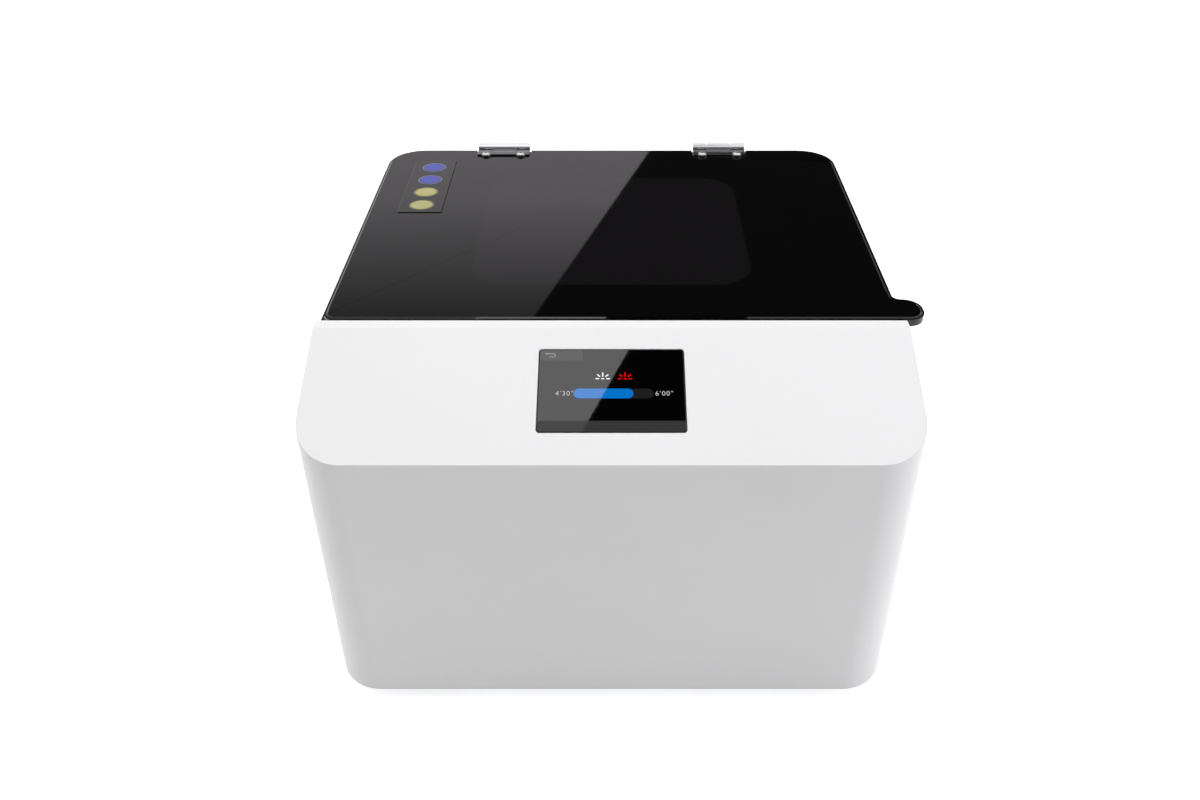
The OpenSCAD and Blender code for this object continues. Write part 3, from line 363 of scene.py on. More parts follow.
housing = {"topRound": 1.1 * mm, "ledgeRound": 0.35 * mm, "bottomRound": 0.8 * mm,
           "panelFrom": 165 * mm, "panelDepth": 80 * mm, "deckLedge": 193.5 * mm,
           "crestFrom": 60 * mm, "lidHalf": 150 * mm, "level": 0.9, "leaning": 0.5, "steep": 0.2}


def isTopEdge(edge):
    heights = [v.co.z for v in edge.verts]
    upward = sorted(f.normal.z for f in edge.link_faces)
    return (min(heights) > housing["panelFrom"] and upward[1] > housing["level"]
            and abs(upward[0]) < housing["steep"])


def overScreen(edge):
    middle = middleOf(edge)
    low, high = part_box("display_glass")
    return low.x - mm < middle.x < high.x + mm and low.y - mm < middle.y < high.y + mm


def onOuterTop(edge):
    middle = middleOf(edge)
    return (isTopEdge(edge) and not overScreen(edge)
            and (middle.z > housing["deckLedge"] or middle.y < frontY + housing["panelDepth"]))


def onCutOut(edge):
    lean = [f.normal.z for f in edge.link_faces]
    return overScreen(edge) and max(lean) > housing["level"] and min(lean) < housing["leaning"]


def besideLid(edge):
    middle = middleOf(edge)
    return (middle.z > housing["deckLedge"] and middle.y > frontY + housing["crestFrom"]
            and abs(middle.x - middleX) < housing["lidHalf"])


def isCrease(edge):
    return (all(f.normal.z > housing["level"] for f in edge.link_faces)
            and edge.verts[0].co.z > housing["deckLedge"])


def makeHousing():
    mesh = mergedMesh("housing_shell")
    roundEdges(mesh, housing["bottomRound"], 2,
               lambda e: all(v.co.z < shellLow.z + sameHeight for v in e.verts) and meetsWall(e), sharper=60)
    cutEdges = roundEdges(mesh, housing["ledgeRound"], 2, onCutOut, sharper=40)
    topEdges = roundEdges(mesh, housing["ledgeRound"], 2, lambda e: onOuterTop(e) and besideLid(e))
    topEdges += roundEdges(mesh, housing["topRound"], 5,
                           lambda e: onOuterTop(e) and not besideLid(e) or isCrease(e))
    piece = meshObject("housing_dressed", mesh, finishes["housing_white"])
    print("housing: rounded", topEdges, "edges along the panel and the crest,", cutEdges, "round the screen")
    return settle(smooth(piece, 30), "housing_shell")


makeHousing()


# Deck and lid

lidEdge = {"rim": 2.1 * mm, "step": 0.5 * mm, "fadeFrom": 131 * mm, "fadeOver": 16 * mm,
           "under": 0.8 * mm, "holesWithin": 8 * mm, "creaseFrom": 20}


def makeLid():
    mesh = mergedMesh("lid_panel")
    screwLow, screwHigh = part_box("lid_hinge_screws")
    holeLine = (screwLow.y + screwHigh.y) / 2

    def onRim(edge, height):
        middle = middleOf(edge)
        nearHoles = (abs(middle.y - holeLine) < lidEdge["holesWithin"]
                     and screwLow.x < middle.x < screwHigh.x)
        return (all(abs(v.co.z - height) < sameHeight for v in edge.verts) and not nearHoles
                and meetsWall(edge))

    # The rim is a narrow band a step below the sheet's top, and the step dies out towards the hinges
    cut = roundEdges(mesh, lidEdge["rim"], 2, lambda e: onRim(e, lidTop), sharper=60, clamp=False,
                     profile=0.25)
    roundEdges(mesh, lidEdge["under"], 3, lambda e: onRim(e, lidLow.z), sharper=60, clamp=False)
    lowered = 0
    for vert in mesh.verts:
        if sameHeight < lidTop - vert.co.z < lidEdge["rim"] + sameHeight:
            behind = min(max((vert.co.y - lidEdge["fadeFrom"]) / lidEdge["fadeOver"], 0), 1)
            vert.co.z = lidTop - lidEdge["step"] * (1 - behind)
            lowered += 1
    print("lid: stepped", cut, "edges,", lowered, "points lowered")
    mesh.normal_update()
    creases = [e.calc_face_angle(0) > math.radians(lidEdge["creaseFrom"]) for e in mesh.edges]
    piece = smooth(meshObject("lid_sheet", mesh, finishes["lid_black"]))
    for edge, crease in zip(piece.data.edges, creases):
        edge.use_edge_sharp = crease  # the step's shallow bend stays crisp
    return settle(piece, "lid_panel")


makeLid()
for node, name, width, segments in (
        ("top_deck", "deck_dressed", 0.15 * mm, 2), ("lid_inner_frame", "lid_frame_dressed", 0.4 * mm, 2),
        ("chamber_liner", "liner_dressed", 0.25 * mm, 2), ("chamber_gasket", "seal_dressed", 0.35 * mm, 3),
        ("turntable_plate", "table_dressed", 0.6 * mm, 3), ("turntable_hub", "hub_dressed", 0.5 * mm, 2),
        ("hinge_lid_leaf_right", "hinge_lid_leaf_right_dressed", 0.18 * mm, 2),
        ("hinge_lid_leaf_left", "hinge_lid_leaf_left_dressed", 0.18 * mm, 2),
        ("hinge_back_leaf_right", "hinge_back_leaf_right_dressed", 0.18 * mm, 2),
        ("hinge_back_leaf_left", "hinge_back_leaf_left_dressed", 0.18 * mm, 2),
        ("base_plate", "base_dressed", 0.3 * mm, 1), ("rubber_feet", "feet_dressed", 1.0 * mm, 3),
        ("power_inlet", "inlet_dressed", 0.5 * mm, 2), ("switch_body", "switch_dressed", 0.4 * mm, 2),
        ("switch_rocker", "rocker_dressed", 0.5 * mm, 3), ("inlet_pins", "pins_dressed", 0.3 * mm, 2),
        ("fan_frame_right", "fan_frame_right_dressed", 0.6 * mm, 2),
        ("fan_frame_left", "fan_frame_left_dressed", 0.6 * mm, 2)):
    dressNode(node, name, width, segments)
print("lid, deck, hinges and rear pieces dressed")


# The screen's picture, in thin slabs. Places are fractions of the screen, u to the right and v downwards

panel = {"edgeHeight": 170.5 * mm, "tilt": math.radians(22.6)}
panelPlace = (Matrix.Translation((middleX, frontY, panel["edgeHeight"]))
              @ Matrix.Rotation(panel["tilt"], 4, "X"))
screen = {"width": 73.4 * mm, "height": 49 * mm, "up": 18.4 * mm, "border": 0.35 * mm,
          "lift": 0.02 * mm, "thick": 0.03 * mm, "upperThick": 0.4}

def onScreen(u, v):
    return ((u - 0.5) * screen["width"], screen["up"] + (1 - v) * screen["height"])


def roundedOutline(x0, y0, x1, y1, corners, steps=8):
    points = []
    spots = ((x1, y0, -90), (x1, y1, 0), (x0, y1, 90), (x0, y0, 180))
    for (x, y, start), radius in zip(spots, corners):
        cx = x - radius if x == x1 else x + radius
        cy = y - radius if y == y1 else y + radius
        count = steps if radius > 0 else 0
        for i in range(count + 1):
            a = math.radians(start + (90 * i / count if count else 0))
            points.append((cx + radius * math.cos(a), cy + radius * math.sin(a)))
    return points


def addSlab(mesh, outline, low, high, materialIndex):
    top = [mesh.verts.new((x, y, high)) for x, y in outline]
    bottom = [mesh.verts.new((x, y, low)) for x, y in outline]
    faces = [mesh.faces.new(top), mesh.faces.new(list(reversed(bottom)))]
    for i in range(len(outline)):
        j = (i + 1) % len(outline)
        faces.append(mesh.faces.new((bottom[i], bottom[j], top[j], top[i])))
    for face in faces:
        face.material_index = materialIndex


def lit(name, color, shine=0.5):
    material = finish(name, grey(0.0008), 0.02, drift=0.02, grainSpread=0.01, bump=0.01,
                      **{"IOR": 1.52, "Specular IOR Level": shine})
    shader = material.node_tree.nodes["Principled BSDF"]
    shader.inputs["Emission Color"].default_value = color
    shader.inputs["Emission Strength"].default_value = 1.0
    return material


pictureColors = {
    "bar": lit("picture_bar_grey", grey(0.038), 0.12),
    "tab": lit("picture_tab_grey", grey(0.030)),
    "track": lit("picture_track_grey", grey(0.013)),
    "fill": lit("picture_blue", rgb(0.0, 0.168, 0.578)),
    "white": lit("picture_white", grey(0.95)),
    "figures": lit("picture_figures", grey(0.78)),
    "red": lit("picture_red", rgb(0.94, 0.0, 0.0)),
    "pale": lit("picture_pale_grey", grey(0.36)),
}
colorOrder = list(pictureColors)
picture = {"barTop": 0.868, "barCorner": 0.6 * mm, "tab": (0.006, 0.02, 0.30, 0.14),
           "pillTop": 0.486, "pillBottom": 0.604, "pillLeft": 0.242, "pillRight": 0.786,
           "pillRound": 0.999, "fillTo": 0.648,
           "rays": ((0.44, "white"), (0.593, "red")), "rayMiddle": 0.365, "rayReach": 3.85 * mm,
           "rayWidth": 0.66 * mm, "rayRound": 0.98, "rayFoot": 0.19,
           "figures": (("4'30\"", 0.180), ("6'00\"", 0.858)), "figureLine": 0.546,
           "figureSize": 3.9 * mm, "figureThin": 0.07 * mm, "figureGap": 1.15,
           "arrow": (0.075, 0.075), "arrowLength": 3.3 * mm, "arrowHeight": 1.9 * mm,
           "arrowWidth": 0.34 * mm, "arrowTail": 0.1, "arrowHead": (0.9, 0.4, 1.6)}
spokes = ((0, 0.45, 0.96), (42, 0.46, 1.0), (90, 0.29, 1.0), (138, 0.46, 1.0), (180, 0.45, 0.96))


def addPatch(mesh, outline, color, low, high):
    addSlab(mesh, outline, low, high, colorOrder.index(color))


def addRays(mesh, u, color, low, high):
    x, y = onScreen(u, picture["rayMiddle"])
    reach, half = picture["rayReach"], picture["rayWidth"] / 2
    for angle, inner, outer in spokes:
        turn = Matrix.Rotation(math.radians(angle), 2)
        ends = (half * picture["rayRound"],) * 4
        outline = roundedOutline(reach * inner, -half, reach * outer, half, ends, 4)
        points = [turn @ Vector(p) for p in outline]
        addPatch(mesh, [(x + p.x, y + p.y) for p in points], color, low, high)
    foot = reach * picture["rayFoot"]
    outline = roundedOutline(x - foot, y - half, x + foot, y + half, (0, half, half, 0), 4)
    addPatch(mesh, outline, color, low, high)


def strokeOutline(points, half):
    left, right = [], []
    for i, point in enumerate(points):
        before, after = points[max(i - 1, 0)], points[min(i + 1, len(points) - 1)]
        along = Vector((after[0] - before[0], after[1] - before[1])).normalized()
        left.append((point[0] - along.y * half, point[1] + along.x * half))
        right.append((point[0] + along.y * half, point[1] - along.x * half))
    return right + left[::-1]


def addBackArrow(mesh, low, high):
    x, y = onScreen(*picture["arrow"])
    length, rise, half = picture["arrowLength"], picture["arrowHeight"] / 2, picture["arrowWidth"] / 2
    tip = x - length * 0.5
    bend = [(x + length * 0.5 + rise * math.cos(math.radians(a)), y + rise * math.sin(math.radians(a)))
            for a in range(90, -91, -15)]
    line = [(tip, y + rise)] + bend + [(x - length * picture["arrowTail"], y - rise)]
    addPatch(mesh, strokeOutline(line, half), "pale", low, high)
    ahead, foot, head = picture["arrowHead"]
    addPatch(mesh, [(tip - rise * ahead, y + rise), (tip, y + rise * foot), (tip, y + rise * head)],
             "pale", low, high)


def addLetters(mesh, text, u, v, color, low, high):
    curve = bpy.data.curves.new("figures", "FONT")
    curve.body = text
    curve.size = picture["figureSize"]
    curve.offset = -picture["figureThin"]
    curve.space_character = picture["figureGap"]
    curve.align_x = "CENTER"
    curve.align_y = "CENTER"
    curve.resolution_u = 4
    figures = link(bpy.data.objects.new("figures", curve))
    bpy.context.view_layer.update()
    flat = bpy.data.meshes.new_from_object(figures.evaluated_get(bpy.context.evaluated_depsgraph_get()))
    part = bmesh.new()
    part.from_mesh(flat)
    bmesh.ops.remove_doubles(part, verts=part.verts, dist=weldWithin)
    x, y = onScreen(u, v)
    bmesh.ops.translate(part, verts=part.verts, vec=(x, y, low))
    raised = bmesh.ops.extrude_face_region(part, geom=part.faces[:])
    bmesh.ops.translate(part, verts=[g for g in raised["geom"] if isinstance(g, bmesh.types.BMVert)],
                        vec=(0, 0, high - low))
    bmesh.ops.recalc_face_normals(part, faces=part.faces)
    for face in part.faces:
        face.material_index = colorOrder.index(color)
    part.to_mesh(flat)
    part.free()
    mesh.from_mesh(flat)
    bpy.data.objects.remove(figures)
    bpy.data.curves.remove(curve)
    bpy.data.meshes.remove(flat)


def makePicture():
    mesh = bmesh.new()
    low, high = screen["lift"], screen["lift"] + screen["thick"]
    upper = high + screen["thick"] * screen["upperThick"]
    edge, half, corner = screen["border"], screen["width"] / 2, picture["barCorner"]
    barTop = onScreen(0, picture["barTop"])[1]
    outline = roundedOutline(edge - half, screen["up"] + edge, half - edge, barTop, (corner, 0, 0, corner))
    addPatch(mesh, outline, "bar", low, high)
    left, top = onScreen(*picture["tab"][:2])
    right, bottom = onScreen(*picture["tab"][2:])
    addPatch(mesh, roundedOutline(left, bottom, right, top, (0, 0, corner, 0)), "tab", low, high)
    x0, y1 = onScreen(picture["pillLeft"], picture["pillTop"])
    x1, y0 = onScreen(picture["pillRight"], picture["pillBottom"])
    ends = ((y1 - y0) / 2 * picture["pillRound"],) * 4
    addPatch(mesh, roundedOutline(x0, y0, x1, y1, ends), "track", low, high)
    fillEnd = onScreen(picture["fillTo"], 0)[0]
    addPatch(mesh, roundedOutline(x0, y0, fillEnd, y1, ends), "fill", high, upper)
    for u, color in picture["rays"]:
        addRays(mesh, u, color, low, high)
    for text, u in picture["figures"]:
        addLetters(mesh, text, u, picture["figureLine"], "figures", low, high)
    addBackArrow(mesh, high, upper)
    mesh.transform(panelPlace)
    piece = meshObject("screen_picture", mesh, *pictureColors.values())
    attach(piece, "housing")
    return piece


dressNode("display_glass", "screen_glass_dressed", 0.35 * mm, 3)
makePicture()
print("screen picture made")


# Strip on the lid with four plain discs

def discFinish(name, color, roughness):
    return finish(name, color, roughness, drift=0.06, driftSize=150, bump=0.02)


# Each disc: how far it lies from the strip's rear end in mm, then its layers' colours from the rim inwards
stripLow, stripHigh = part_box("lid_strip")
strip = {"disc": 15.6 * mm, "depth": 0.92, "layerShares": (1, 0.93, 0.84), "layerHeight": 0.05 * mm,
         "discs": ((11.9, (2, 3, 0)), (32.4, (2, 3, 0)), (52.0, (4, 4, 1)), (71.4, (4, 4, 1)))}
discColors = (discFinish("disc_blue", rgb(0.045, 0.060, 0.36), 0.16),
              discFinish("disc_straw", rgb(0.40, 0.375, 0.14), 0.20),
              discFinish("disc_ring_violet", rgb(0.21, 0.19, 0.30), 0.16),
              discFinish("disc_gap_indigo", rgb(0.055, 0.050, 0.20), 0.16),
              discFinish("disc_ring_straw", rgb(0.19, 0.18, 0.075), 0.20))


def ringOutline(x, y, radius, steps=48):
    return [(x + radius * math.cos(2 * math.pi * i / steps), y + radius * math.sin(2 * math.pi * i / steps))
            for i in range(steps)]


def makeDiscs():
    mesh = bmesh.new()
    x = (stripLow.x + stripHigh.x) / 2
    for back, layers in strip["discs"]:
        y = stripHigh.y - back * mm
        z = stripHigh.z
        for layer, share in zip(layers, strip["layerShares"]):
            outline = ringOutline(x, y, strip["disc"] / 2 * share)
            addSlab(mesh, [(px, y + (py - y) * strip["depth"]) for px, py in outline],
                    z, z + strip["layerHeight"], layer)
            z += strip["layerHeight"]
    piece = meshObject("strip_discs", mesh, *discColors)
    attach(piece, "lid")


dressNode("lid_strip", "strip_dressed", 0.22 * mm, 3)
makeDiscs()
print("strip and discs made")


# Geometry Nodes: shared pieces of the trees

def newTree(name, inputs):
    tree = bpy.data.node_groups.new(name, "GeometryNodeTree")
    tree.interface.new_socket("Geometry", in_out="INPUT", socket_type="NodeSocketGeometry")
    for label, kind, value in inputs:
        socket = tree.interface.new_socket(label, in_out="INPUT", socket_type=kind)
        if value is not None:
            socket.default_value = value
    tree.interface.new_socket("Geometry", in_out="OUTPUT", socket_type="NodeSocketGeometry")
    return tree, addNode(tree, "NodeGroupInput"), addNode(tree, "NodeGroupOutput")


def socketId(tree, label):
    return next(item.identifier for item in tree.interface.items_tree
                if item.item_type == "SOCKET" and item.in_out == "INPUT" and item.name == label)


def grow(name, base, tree, values, body, slot, *replaced, sharper=35):
    modifier = base.modifiers.new("grow", "NODES")
    modifier.node_group = tree
    for label, value in values.items():
        modifier[socketId(tree, label)] = value
    bpy.context.view_layer.update()
    result = bpy.data.meshes.new_from_object(base.evaluated_get(bpy.context.evaluated_depsgraph_get()))
    bpy.data.objects.remove(base)
    piece = link(bpy.data.objects.new(name, result))
    piece.data.shade_smooth()
    piece.data.set_sharp_from_angle(angle=math.radians(sharper))
    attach(piece, body)
    if replaced:
        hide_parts(*replaced)
    return piece


def calc(tree, operation, a, b=0.0):
    return addNode(tree, "ShaderNodeMath", {"operation": operation}, {0: a, 1: b}).outputs[0]


def vectorOf(tree, **axes):
    return addNode(tree, "ShaderNodeCombineXYZ", inputs=axes).outputs[0]


def moved(tree, geometry, **inputs):
    return addNode(tree, "GeometryNodeTransform", inputs={"Geometry": geometry, **inputs}).outputs[0]


def joined(tree, *parts):
    join = addNode(tree, "GeometryNodeJoinGeometry")
    for part in parts:
        tree.links.new(part, join.inputs[0])
    return join.outputs[0]


def instanceFacing(tree, points, item, material):
    facing = addNode(tree, "GeometryNodeInputNamedAttribute", {"data_type": "FLOAT_VECTOR"},
                     {"Name": "facing"})
    turn = addNode(tree, "FunctionNodeAlignRotationToVector", {"axis": "Z"},
                   {"Vector": facing.outputs["Attribute"]})
    placed = addNode(tree, "GeometryNodeInstanceOnPoints",
                     inputs={"Points": points, "Instance": item, "Rotation": turn.outputs[0]})
    real = addNode(tree, "GeometryNodeRealizeInstances", inputs={"Geometry": placed.outputs[0]})
    return addNode(tree, "GeometryNodeSetMaterial",
                   inputs={"Geometry": real.outputs[0], "Material": material}).outputs[0]


def facingPoints(name, places):
    mesh = bpy.data.meshes.new(name)
    mesh.from_pydata([p for p, _ in places], [], [])
    facing = mesh.attributes.new("facing", "FLOAT_VECTOR", "POINT")
    for i, (_, direction) in enumerate(places):
        facing.data[i].vector = direction
    return link(bpy.data.objects.new(name, mesh))


def islands(node):
    mesh = mergedMesh(node)
    left = set(mesh.verts)
    boxes = []
    while left:
        stack = [left.pop()]
        found = []
        while stack:
            vert = stack.pop()
            found.append(vert.co.copy())
            for edge in vert.link_edges:
                other = edge.other_vert(vert)
                if other in left:
                    left.discard(other)
                    stack.append(other)
        boxes.append((Vector(map(min, *found)), Vector(map(max, *found))))
    mesh.free()
    return boxes


# Pan-head screws: a domed head with a cross recess on a plain shank

screwForm = {"Head Diameter": 5.6 * mm, "Wall Height": 0.35 * mm, "Dome Height": 0.8 * mm,
             "Recess Length": 2.9 * mm, "Recess Width": 0.7 * mm, "Recess Depth": 0.75 * mm,
             "Shank Diameter": 3 * mm, "Shank Length": 6 * mm}
domePower = 2.4  # higher gives a flatter middle and a steeper shoulder
shankSunk = -0.49  # just under half its length, so its top stays in the head
solidHeadHeight = 1.8 * mm


def screwTree():
    tree, given, result = newTree("screw_row", [(k, "NodeSocketFloat", v) for k, v in screwForm.items()]
                                  + [("Steel", "NodeSocketMaterial", None)])
    asked = given.outputs
    wall, dome, shankLength = asked["Wall Height"], asked["Dome Height"], asked["Shank Length"]
    radius = calc(tree, "MULTIPLY", asked["Head Diameter"], 0.5)
    head = addNode(tree, "GeometryNodeMeshCylinder", inputs={
        "Vertices": 40, "Fill Segments": 9, "Radius": radius, "Depth": wall})
    position = addNode(tree, "GeometryNodeInputPosition").outputs[0]
    parts = addNode(tree, "ShaderNodeSeparateXYZ", inputs={0: position})
    away = vectorMath(tree, "LENGTH", vectorOf(tree, X=parts.outputs["X"], Y=parts.outputs["Y"]))
    share = calc(tree, "POWER", calc(tree, "DIVIDE", away.outputs["Value"], radius), domePower)
    rise = calc(tree, "MULTIPLY", calc(tree, "SUBTRACT", 1.0, share), dome)
    onTop = calc(tree, "GREATER_THAN", parts.outputs["Z"], 0.0)
    lift = calc(tree, "ADD", calc(tree, "MULTIPLY", calc(tree, "MAXIMUM", rise, 0.0), onTop),
                calc(tree, "MULTIPLY", wall, 0.5))
    domed = addNode(tree, "GeometryNodeSetPosition", inputs={
        "Geometry": head.outputs["Mesh"], "Offset": vectorOf(tree, Z=lift)})
    top = calc(tree, "ADD", wall, dome)
    deep = calc(tree, "MULTIPLY", asked["Recess Depth"], 2.0)
    cuts = []
    for x, y in (("Recess Length", "Recess Width"), ("Recess Width", "Recess Length")):
        bar = addNode(tree, "GeometryNodeMeshCube", inputs={
            "Size": vectorOf(tree, X=asked[x], Y=asked[y], Z=deep)})
        cuts.append(moved(tree, bar.outputs["Mesh"], Translation=vectorOf(tree, Z=top)))
    cross = addNode(tree, "GeometryNodeMeshBoolean", {"operation": "DIFFERENCE", "solver": "EXACT"},
                    {"Mesh 1": domed.outputs[0], "Mesh 2": joined(tree, *cuts)})
    cross.inputs["Self Intersection"].default_value = True
    shank = addNode(tree, "GeometryNodeMeshCylinder", inputs={
        "Vertices": 20, "Radius": calc(tree, "MULTIPLY", asked["Shank Diameter"], 0.5),
        "Depth": shankLength})
    seat = calc(tree, "MULTIPLY", shankLength, shankSunk)
    sunk = moved(tree, shank.outputs["Mesh"], Translation=vectorOf(tree, Z=seat))
    screw = joined(tree, cross.outputs[0], sunk)
    tree.links.new(instanceFacing(tree, asked["Geometry"], screw, asked["Steel"]), result.inputs[0])
    return tree


up, down, rearward = Vector((0, 0, 1)), Vector((0, 0, -1)), Vector((0, 1, 0))
chamberMiddle = (windowLow + windowHigh) / 2


def awayFromChamber(middle):
    out = middle - chamberMiddle
    if abs(out.x) > abs(out.y):
        return Vector((math.copysign(1, out.x), 0, 0))
    return Vector((0, math.copysign(1, out.y), 0))


screwRows = {"lid_hinge_screws": up, "back_hinge_screws": rearward, "fan_screws": rearward,
             "inlet_screws": rearward, "base_screws": down, "foot_screws": down, "deck_screws": down,
             "liner_screws": down, "motor_screws": up, "board_screws": up, "heat_sink_screws": None}


def makeScrews():
    tree = screwTree()
    for node, direction in screwRows.items():
        places = []
        lengths = []
        for low, high in islands(node):
            middle = (low + high) / 2
            facing = direction or awayFromChamber(middle)
            span = abs((high - low).dot(facing))
            seat = middle + facing * (span / 2 - solidHeadHeight)
            places.append((seat, facing))
            lengths.append(span - solidHeadHeight)
        grow(node + "_turned", facingPoints(node + "_points", places), tree,
             {"Shank Length": min(lengths), "Steel": finishes["screw_steel"]},
             cadNodes[node]["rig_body"], "screw_steel", node)


makeScrews()
print("screws made:", len(screwRows), "rows")


# LED emitters: a square package with a clear dome

emitterForm = {"Package Side": 3.5 * mm, "Package Height": 0.7 * mm, "Dome Radius": 1.35 * mm}
domeSeat, domeFlatness = 0.9, 0.4


def emitterTree():
    tree, given, result = newTree("emitter_field", [(k, "NodeSocketFloat", v) for k, v in emitterForm.items()]
                                  + [("Resin", "NodeSocketMaterial", None)])
    asked = given.outputs
    side, height = asked["Package Side"], asked["Package Height"]
    box = addNode(tree, "GeometryNodeMeshCube", inputs={"Size": vectorOf(tree, X=side, Y=side, Z=height)})
    middle = calc(tree, "MULTIPLY", height, 0.5)
    seated = moved(tree, box.outputs["Mesh"], Translation=vectorOf(tree, Z=middle))
    dome = addNode(tree, "GeometryNodeMeshUVSphere", inputs={
        "Segments": 16, "Rings": 8, "Radius": asked["Dome Radius"]})
    raised = vectorOf(tree, Z=calc(tree, "MULTIPLY", height, domeSeat))
    flattened = moved(tree, dome.outputs["Mesh"], Translation=raised, Scale=(1, 1, domeFlatness))
    emitter = joined(tree, seated, flattened)
    tree.links.new(instanceFacing(tree, asked["Geometry"], emitter, asked["Resin"]), result.inputs[0])
    return tree


def makeEmitters():
    places = []
    for low, high in islands("led_emitters"):
        middle = (low + high) / 2
        facing = -awayFromChamber(middle)
        places.append((middle - facing * abs((high - low).dot(facing)) / 2, facing))
    grow("led_emitters_domed", facingPoints("emitter_points", places), emitterTree(),
         {"Resin": finishes["led_resin"]}, "housing", "led_resin", "led_emitters")


makeEmitters()
print("emitters made")


# Stage: floor, world, lamps and the cards that only gloss can see

room = {"floorHalf": 4.0, "floorGrey": 0.80, "floorRoughness": 0.9, "floorGlow": 0.62, "ambient": 0.362}


def seenInPicture(tree):
    path = addNode(tree, "ShaderNodeLightPath")
    return calc(tree, "MAXIMUM", path.outputs["Is Camera Ray"],
                calc(tree, "MAXIMUM", path.outputs["Is Glossy Ray"], path.outputs["Is Transmission Ray"]))


def softFloor():
    material = bpy.data.materials.new("pale_floor")
    material.use_nodes = True
    tree = material.node_tree
    shader = tree.nodes["Principled BSDF"]
    shader.inputs["Base Color"].default_value = grey(room["floorGrey"])
    shader.inputs["Roughness"].default_value = room["floorRoughness"]
    strength = calc(tree, "MULTIPLY", seenInPicture(tree), room["floorGlow"])
    glow = addNode(tree, "ShaderNodeEmission", inputs={"Color": grey(1), "Strength": strength})
    both = addNode(tree, "ShaderNodeAddShader", inputs={0: shader.outputs[0], 1: glow.outputs[0]})
    tree.links.new(both.outputs[0], tree.nodes["Material Output"].inputs["Surface"])
    return material


def makeFloor():
    mesh = bmesh.new()
    half = room["floorHalf"]
    corners = ((-half, -half), (half, -half), (half, half), (-half, half))
    mesh.faces.new([mesh.verts.new((x, y, 0)) for x, y in corners])
    meshObject("floor", mesh, softFloor())


def makeWorld():
    world = bpy.data.worlds.new("white_room")
    scene.world = world
    world.use_nodes = True
    tree = world.node_tree
    level = addNode(tree, "ShaderNodeMapRange", inputs={
        "Value": seenInPicture(tree), "To Min": room["ambient"], "To Max": 1.0})
    sky = tree.nodes["Background"]
    sky.inputs["Color"].default_value = grey(1)
    tree.links.new(level.outputs[0], sky.inputs["Strength"])


coolWhite = (0.96, 0.94, 1.0)
lamps = {
    "top_softbox": {"place": (0.0, 0.0, 1.9), "target": (0, 0, 0.1), "size": (1.8, 1.8), "power": 25},
    "left_softbox": {"place": (-1.5, 0.4, 0.6), "target": (0, 0.0, 0.1), "size": (1.0, 1.2), "power": 7.0,
                     "color": coolWhite},
    "right_softbox": {"place": (1.5, -0.3, 0.6), "target": (0, -0.1, 0.1), "size": (1.0, 1.2), "power": 9.3,
                      "color": coolWhite},
    "back_softbox": {"place": (0.0, 1.9, 0.7), "target": (0, 0.1, 0.1), "size": (1.6, 1.0), "power": 7},
}


def addLamp(name, values):
    data = bpy.data.lights.new(name, "AREA")
    data.shape = "RECTANGLE"
    data.size, data.size_y = values["size"]
    data.energy = values["power"]
    data.color = values.get("color", (1, 1, 1))
    lamp = link(bpy.data.objects.new(name, data))
    lamp.location = values["place"]
    aim = Vector(values["target"]) - Vector(values["place"])
    lamp.rotation_euler = aim.to_track_quat("-Z", "Y").to_euler()
    lamp.visible_glossy = False


def cardMaterial(name, low, high=None, between=(0, 1), tint=(1, 0.96, 1, 1)):
    material = bpy.data.materials.new(name)
    material.use_nodes = True
    tree = material.node_tree
    tree.nodes.remove(tree.nodes["Principled BSDF"])
    place = addNode(tree, "ShaderNodeTexCoord")
    parts = addNode(tree, "ShaderNodeSeparateXYZ", inputs={0: place.outputs["Object"]})
    level = addNode(tree, "ShaderNodeMapRange", inputs={
        "Value": parts.outputs["Z"], "From Min": between[0], "From Max": between[1],
        "To Min": low, "To Max": low if high is None else high})
    glow = addNode(tree, "ShaderNodeEmission", inputs={"Color": tint, "Strength": level.outputs[0]})
    tree.links.new(glow.outputs[0], tree.nodes["Material Output"].inputs["Surface"])
    return material


def onlyInGloss(card):
    card.visible_camera = False
    card.visible_diffuse = False
    card.visible_shadow = False
    card.visible_transmission = False
    card.visible_volume_scatter = False
    return card


def addCard(name, corners, material):
    mesh = bmesh.new()
    mesh.faces.new([mesh.verts.new(c) for c in corners])
    onlyInGloss(meshObject(name, mesh, material))


# The lid mirrors the room behind it between 20 and 35 degrees up, the screen mirrors it almost overhead
lidCard = {"y": 2.0, "left": -1.4, "right": 1.4, "low": 0.78, "high": 1.62, "fade": (1.08, 1.4426),
           "slant": ((0.0951, 0.9497), (-0.2227, 1.4426)), "bright": 0.71, "faint": 0.20, "dark": 0.015,
           "edgeFrom": 0.5, "edgeTo": 2.6, "edgeFoot": 0.02, "edgeLevel": 0.26}
screenCard = {"z": 1.508, "near": 0.02, "far": 0.36, "left": -0.24, "right": 0.24,
              "slant": ((-0.0520, 0.1996), (0.0302, 0.3467)), "bright": 2.5, "dark": 0.0}


def slantAt(card, value):
    (x0, v0), (x1, v1) = card["slant"]
    return x0 + (x1 - x0) * (value - v0) / (v1 - v0)


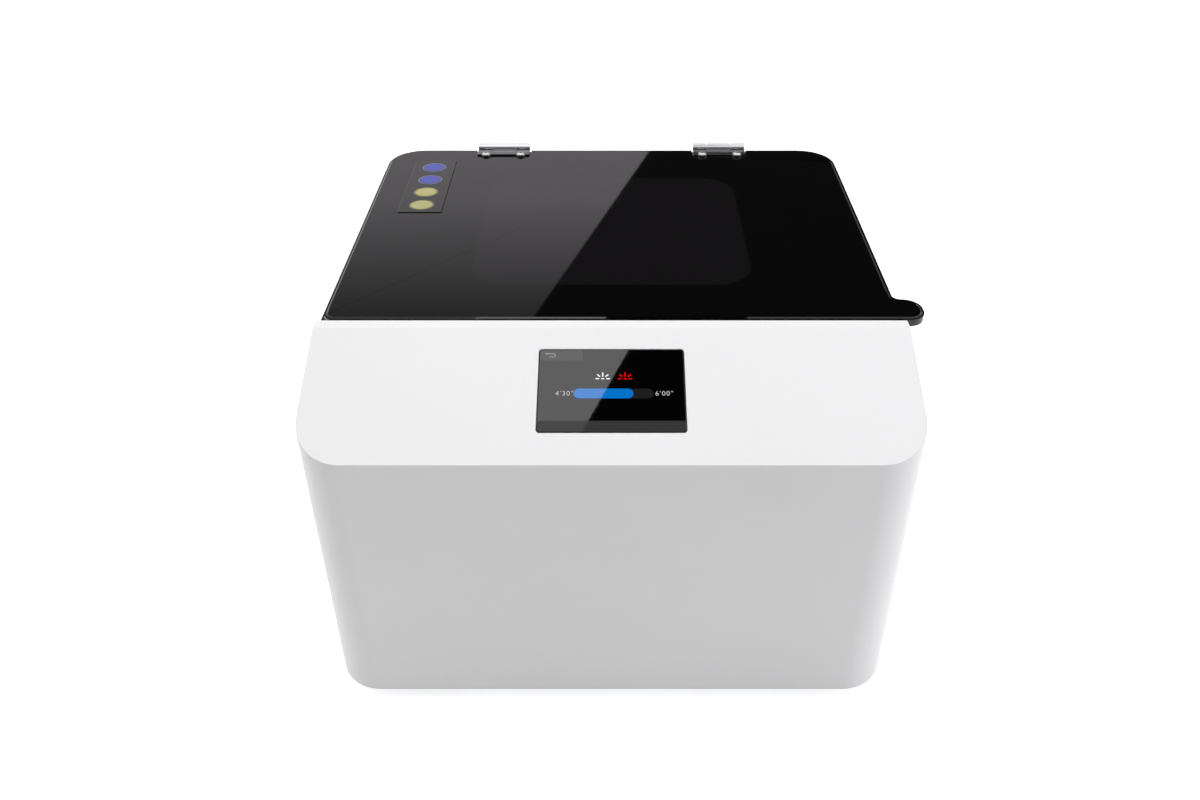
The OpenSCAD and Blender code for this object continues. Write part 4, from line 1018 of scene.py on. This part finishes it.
def makeCards():
    c = lidCard
    y, low, high = c["y"], c["low"], c["high"]
    left, right = middleX + c["left"], middleX + c["right"]
    lowX, highX = middleX + slantAt(c, low), middleX + slantAt(c, high)
    addCard("lid_card_left", ((left, y, low), (lowX, y, low), (highX, y, high), (left, y, high)),
            cardMaterial("lid_card_bright", c["bright"], c["faint"], c["fade"]))
    addCard("lid_card_right", ((lowX, y, low), (right, y, low), (right, y, high), (highX, y, high)),
            cardMaterial("lid_card_dark", c["dark"]))
    start, end, foot = c["edgeFrom"], c["edgeTo"], c["edgeFoot"]
    addCard("edge_card", ((start, y, foot), (end, y, foot), (end, y, low), (start, y, low)),
            cardMaterial("edge_card_dim", c["edgeLevel"]))
    c = screenCard
    z, near, far = c["z"], frontY + c["near"], frontY + c["far"]
    left, right = middleX + c["left"], middleX + c["right"]
    nearX, farX = middleX + slantAt(c, c["near"]), middleX + slantAt(c, c["far"])
    addCard("screen_card_left", ((left, near, z), (nearX, near, z), (farX, far, z), (left, far, z)),
            cardMaterial("screen_card_bright", c["bright"], tint=grey(1)))
    addCard("screen_card_right", ((nearX, near, z), (right, near, z), (right, far, z), (farX, far, z)),
            cardMaterial("screen_card_dark", c["dark"]))


# A curved screen in front of and above the unit: steel shows its dark foot below its bright upper part
frontScreen = {"radius": 2.4, "halfWidth": 3.0, "from": -6, "to": 84, "steps": 36, "most": 1.5,
               "levels": ((-6, 0.06), (10, 0.11), (30, 0.20), (42, 0.62), (57, 0.66), (64, 1.30), (84, 1.30))}


def makeFrontScreen(values):
    mesh = bmesh.new()
    hingeY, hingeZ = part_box("hinge_pins")[0].yz
    rows = []
    for i in range(values["steps"] + 1):
        a = math.radians(values["from"] + (values["to"] - values["from"]) * i / values["steps"])
        y, z = hingeY - values["radius"] * math.cos(a), hingeZ + values["radius"] * math.sin(a)
        rows.append([mesh.verts.new((side * values["halfWidth"], y, z)) for side in (-1, 1)])
    for (a, b), (c, d) in zip(rows, rows[1:]):
        mesh.faces.new((a, b, d, c))
    material = cardMaterial("front_screen_glow", values["most"])
    tree = material.node_tree
    share = addNode(tree, "ShaderNodeMapRange", inputs={
        "Value": tree.nodes["Separate XYZ"].outputs["Z"],
        "From Min": hingeZ - values["radius"], "From Max": hingeZ + values["radius"]})
    ramp = addNode(tree, "ShaderNodeValToRGB", inputs={"Fac": share.outputs[0]})
    stops = ramp.color_ramp.elements
    while len(stops) < len(values["levels"]):
        stops.new(0.5)
    for stop, (angle, _) in zip(stops, values["levels"]):
        stop.position = (math.sin(math.radians(angle)) + 1) / 2
    for stop, (_, level) in zip(stops, values["levels"]):
        stop.color = grey(level / values["most"])
    tree.links.new(ramp.outputs[0], tree.nodes["Emission"].inputs["Color"])
    onlyInGloss(meshObject("front_screen", mesh, material))


makeFloor()
makeWorld()
for name, values in lamps.items():
    addLamp(name, values)
makeCards()
makeFrontScreen(frontScreen)
print("stage set")
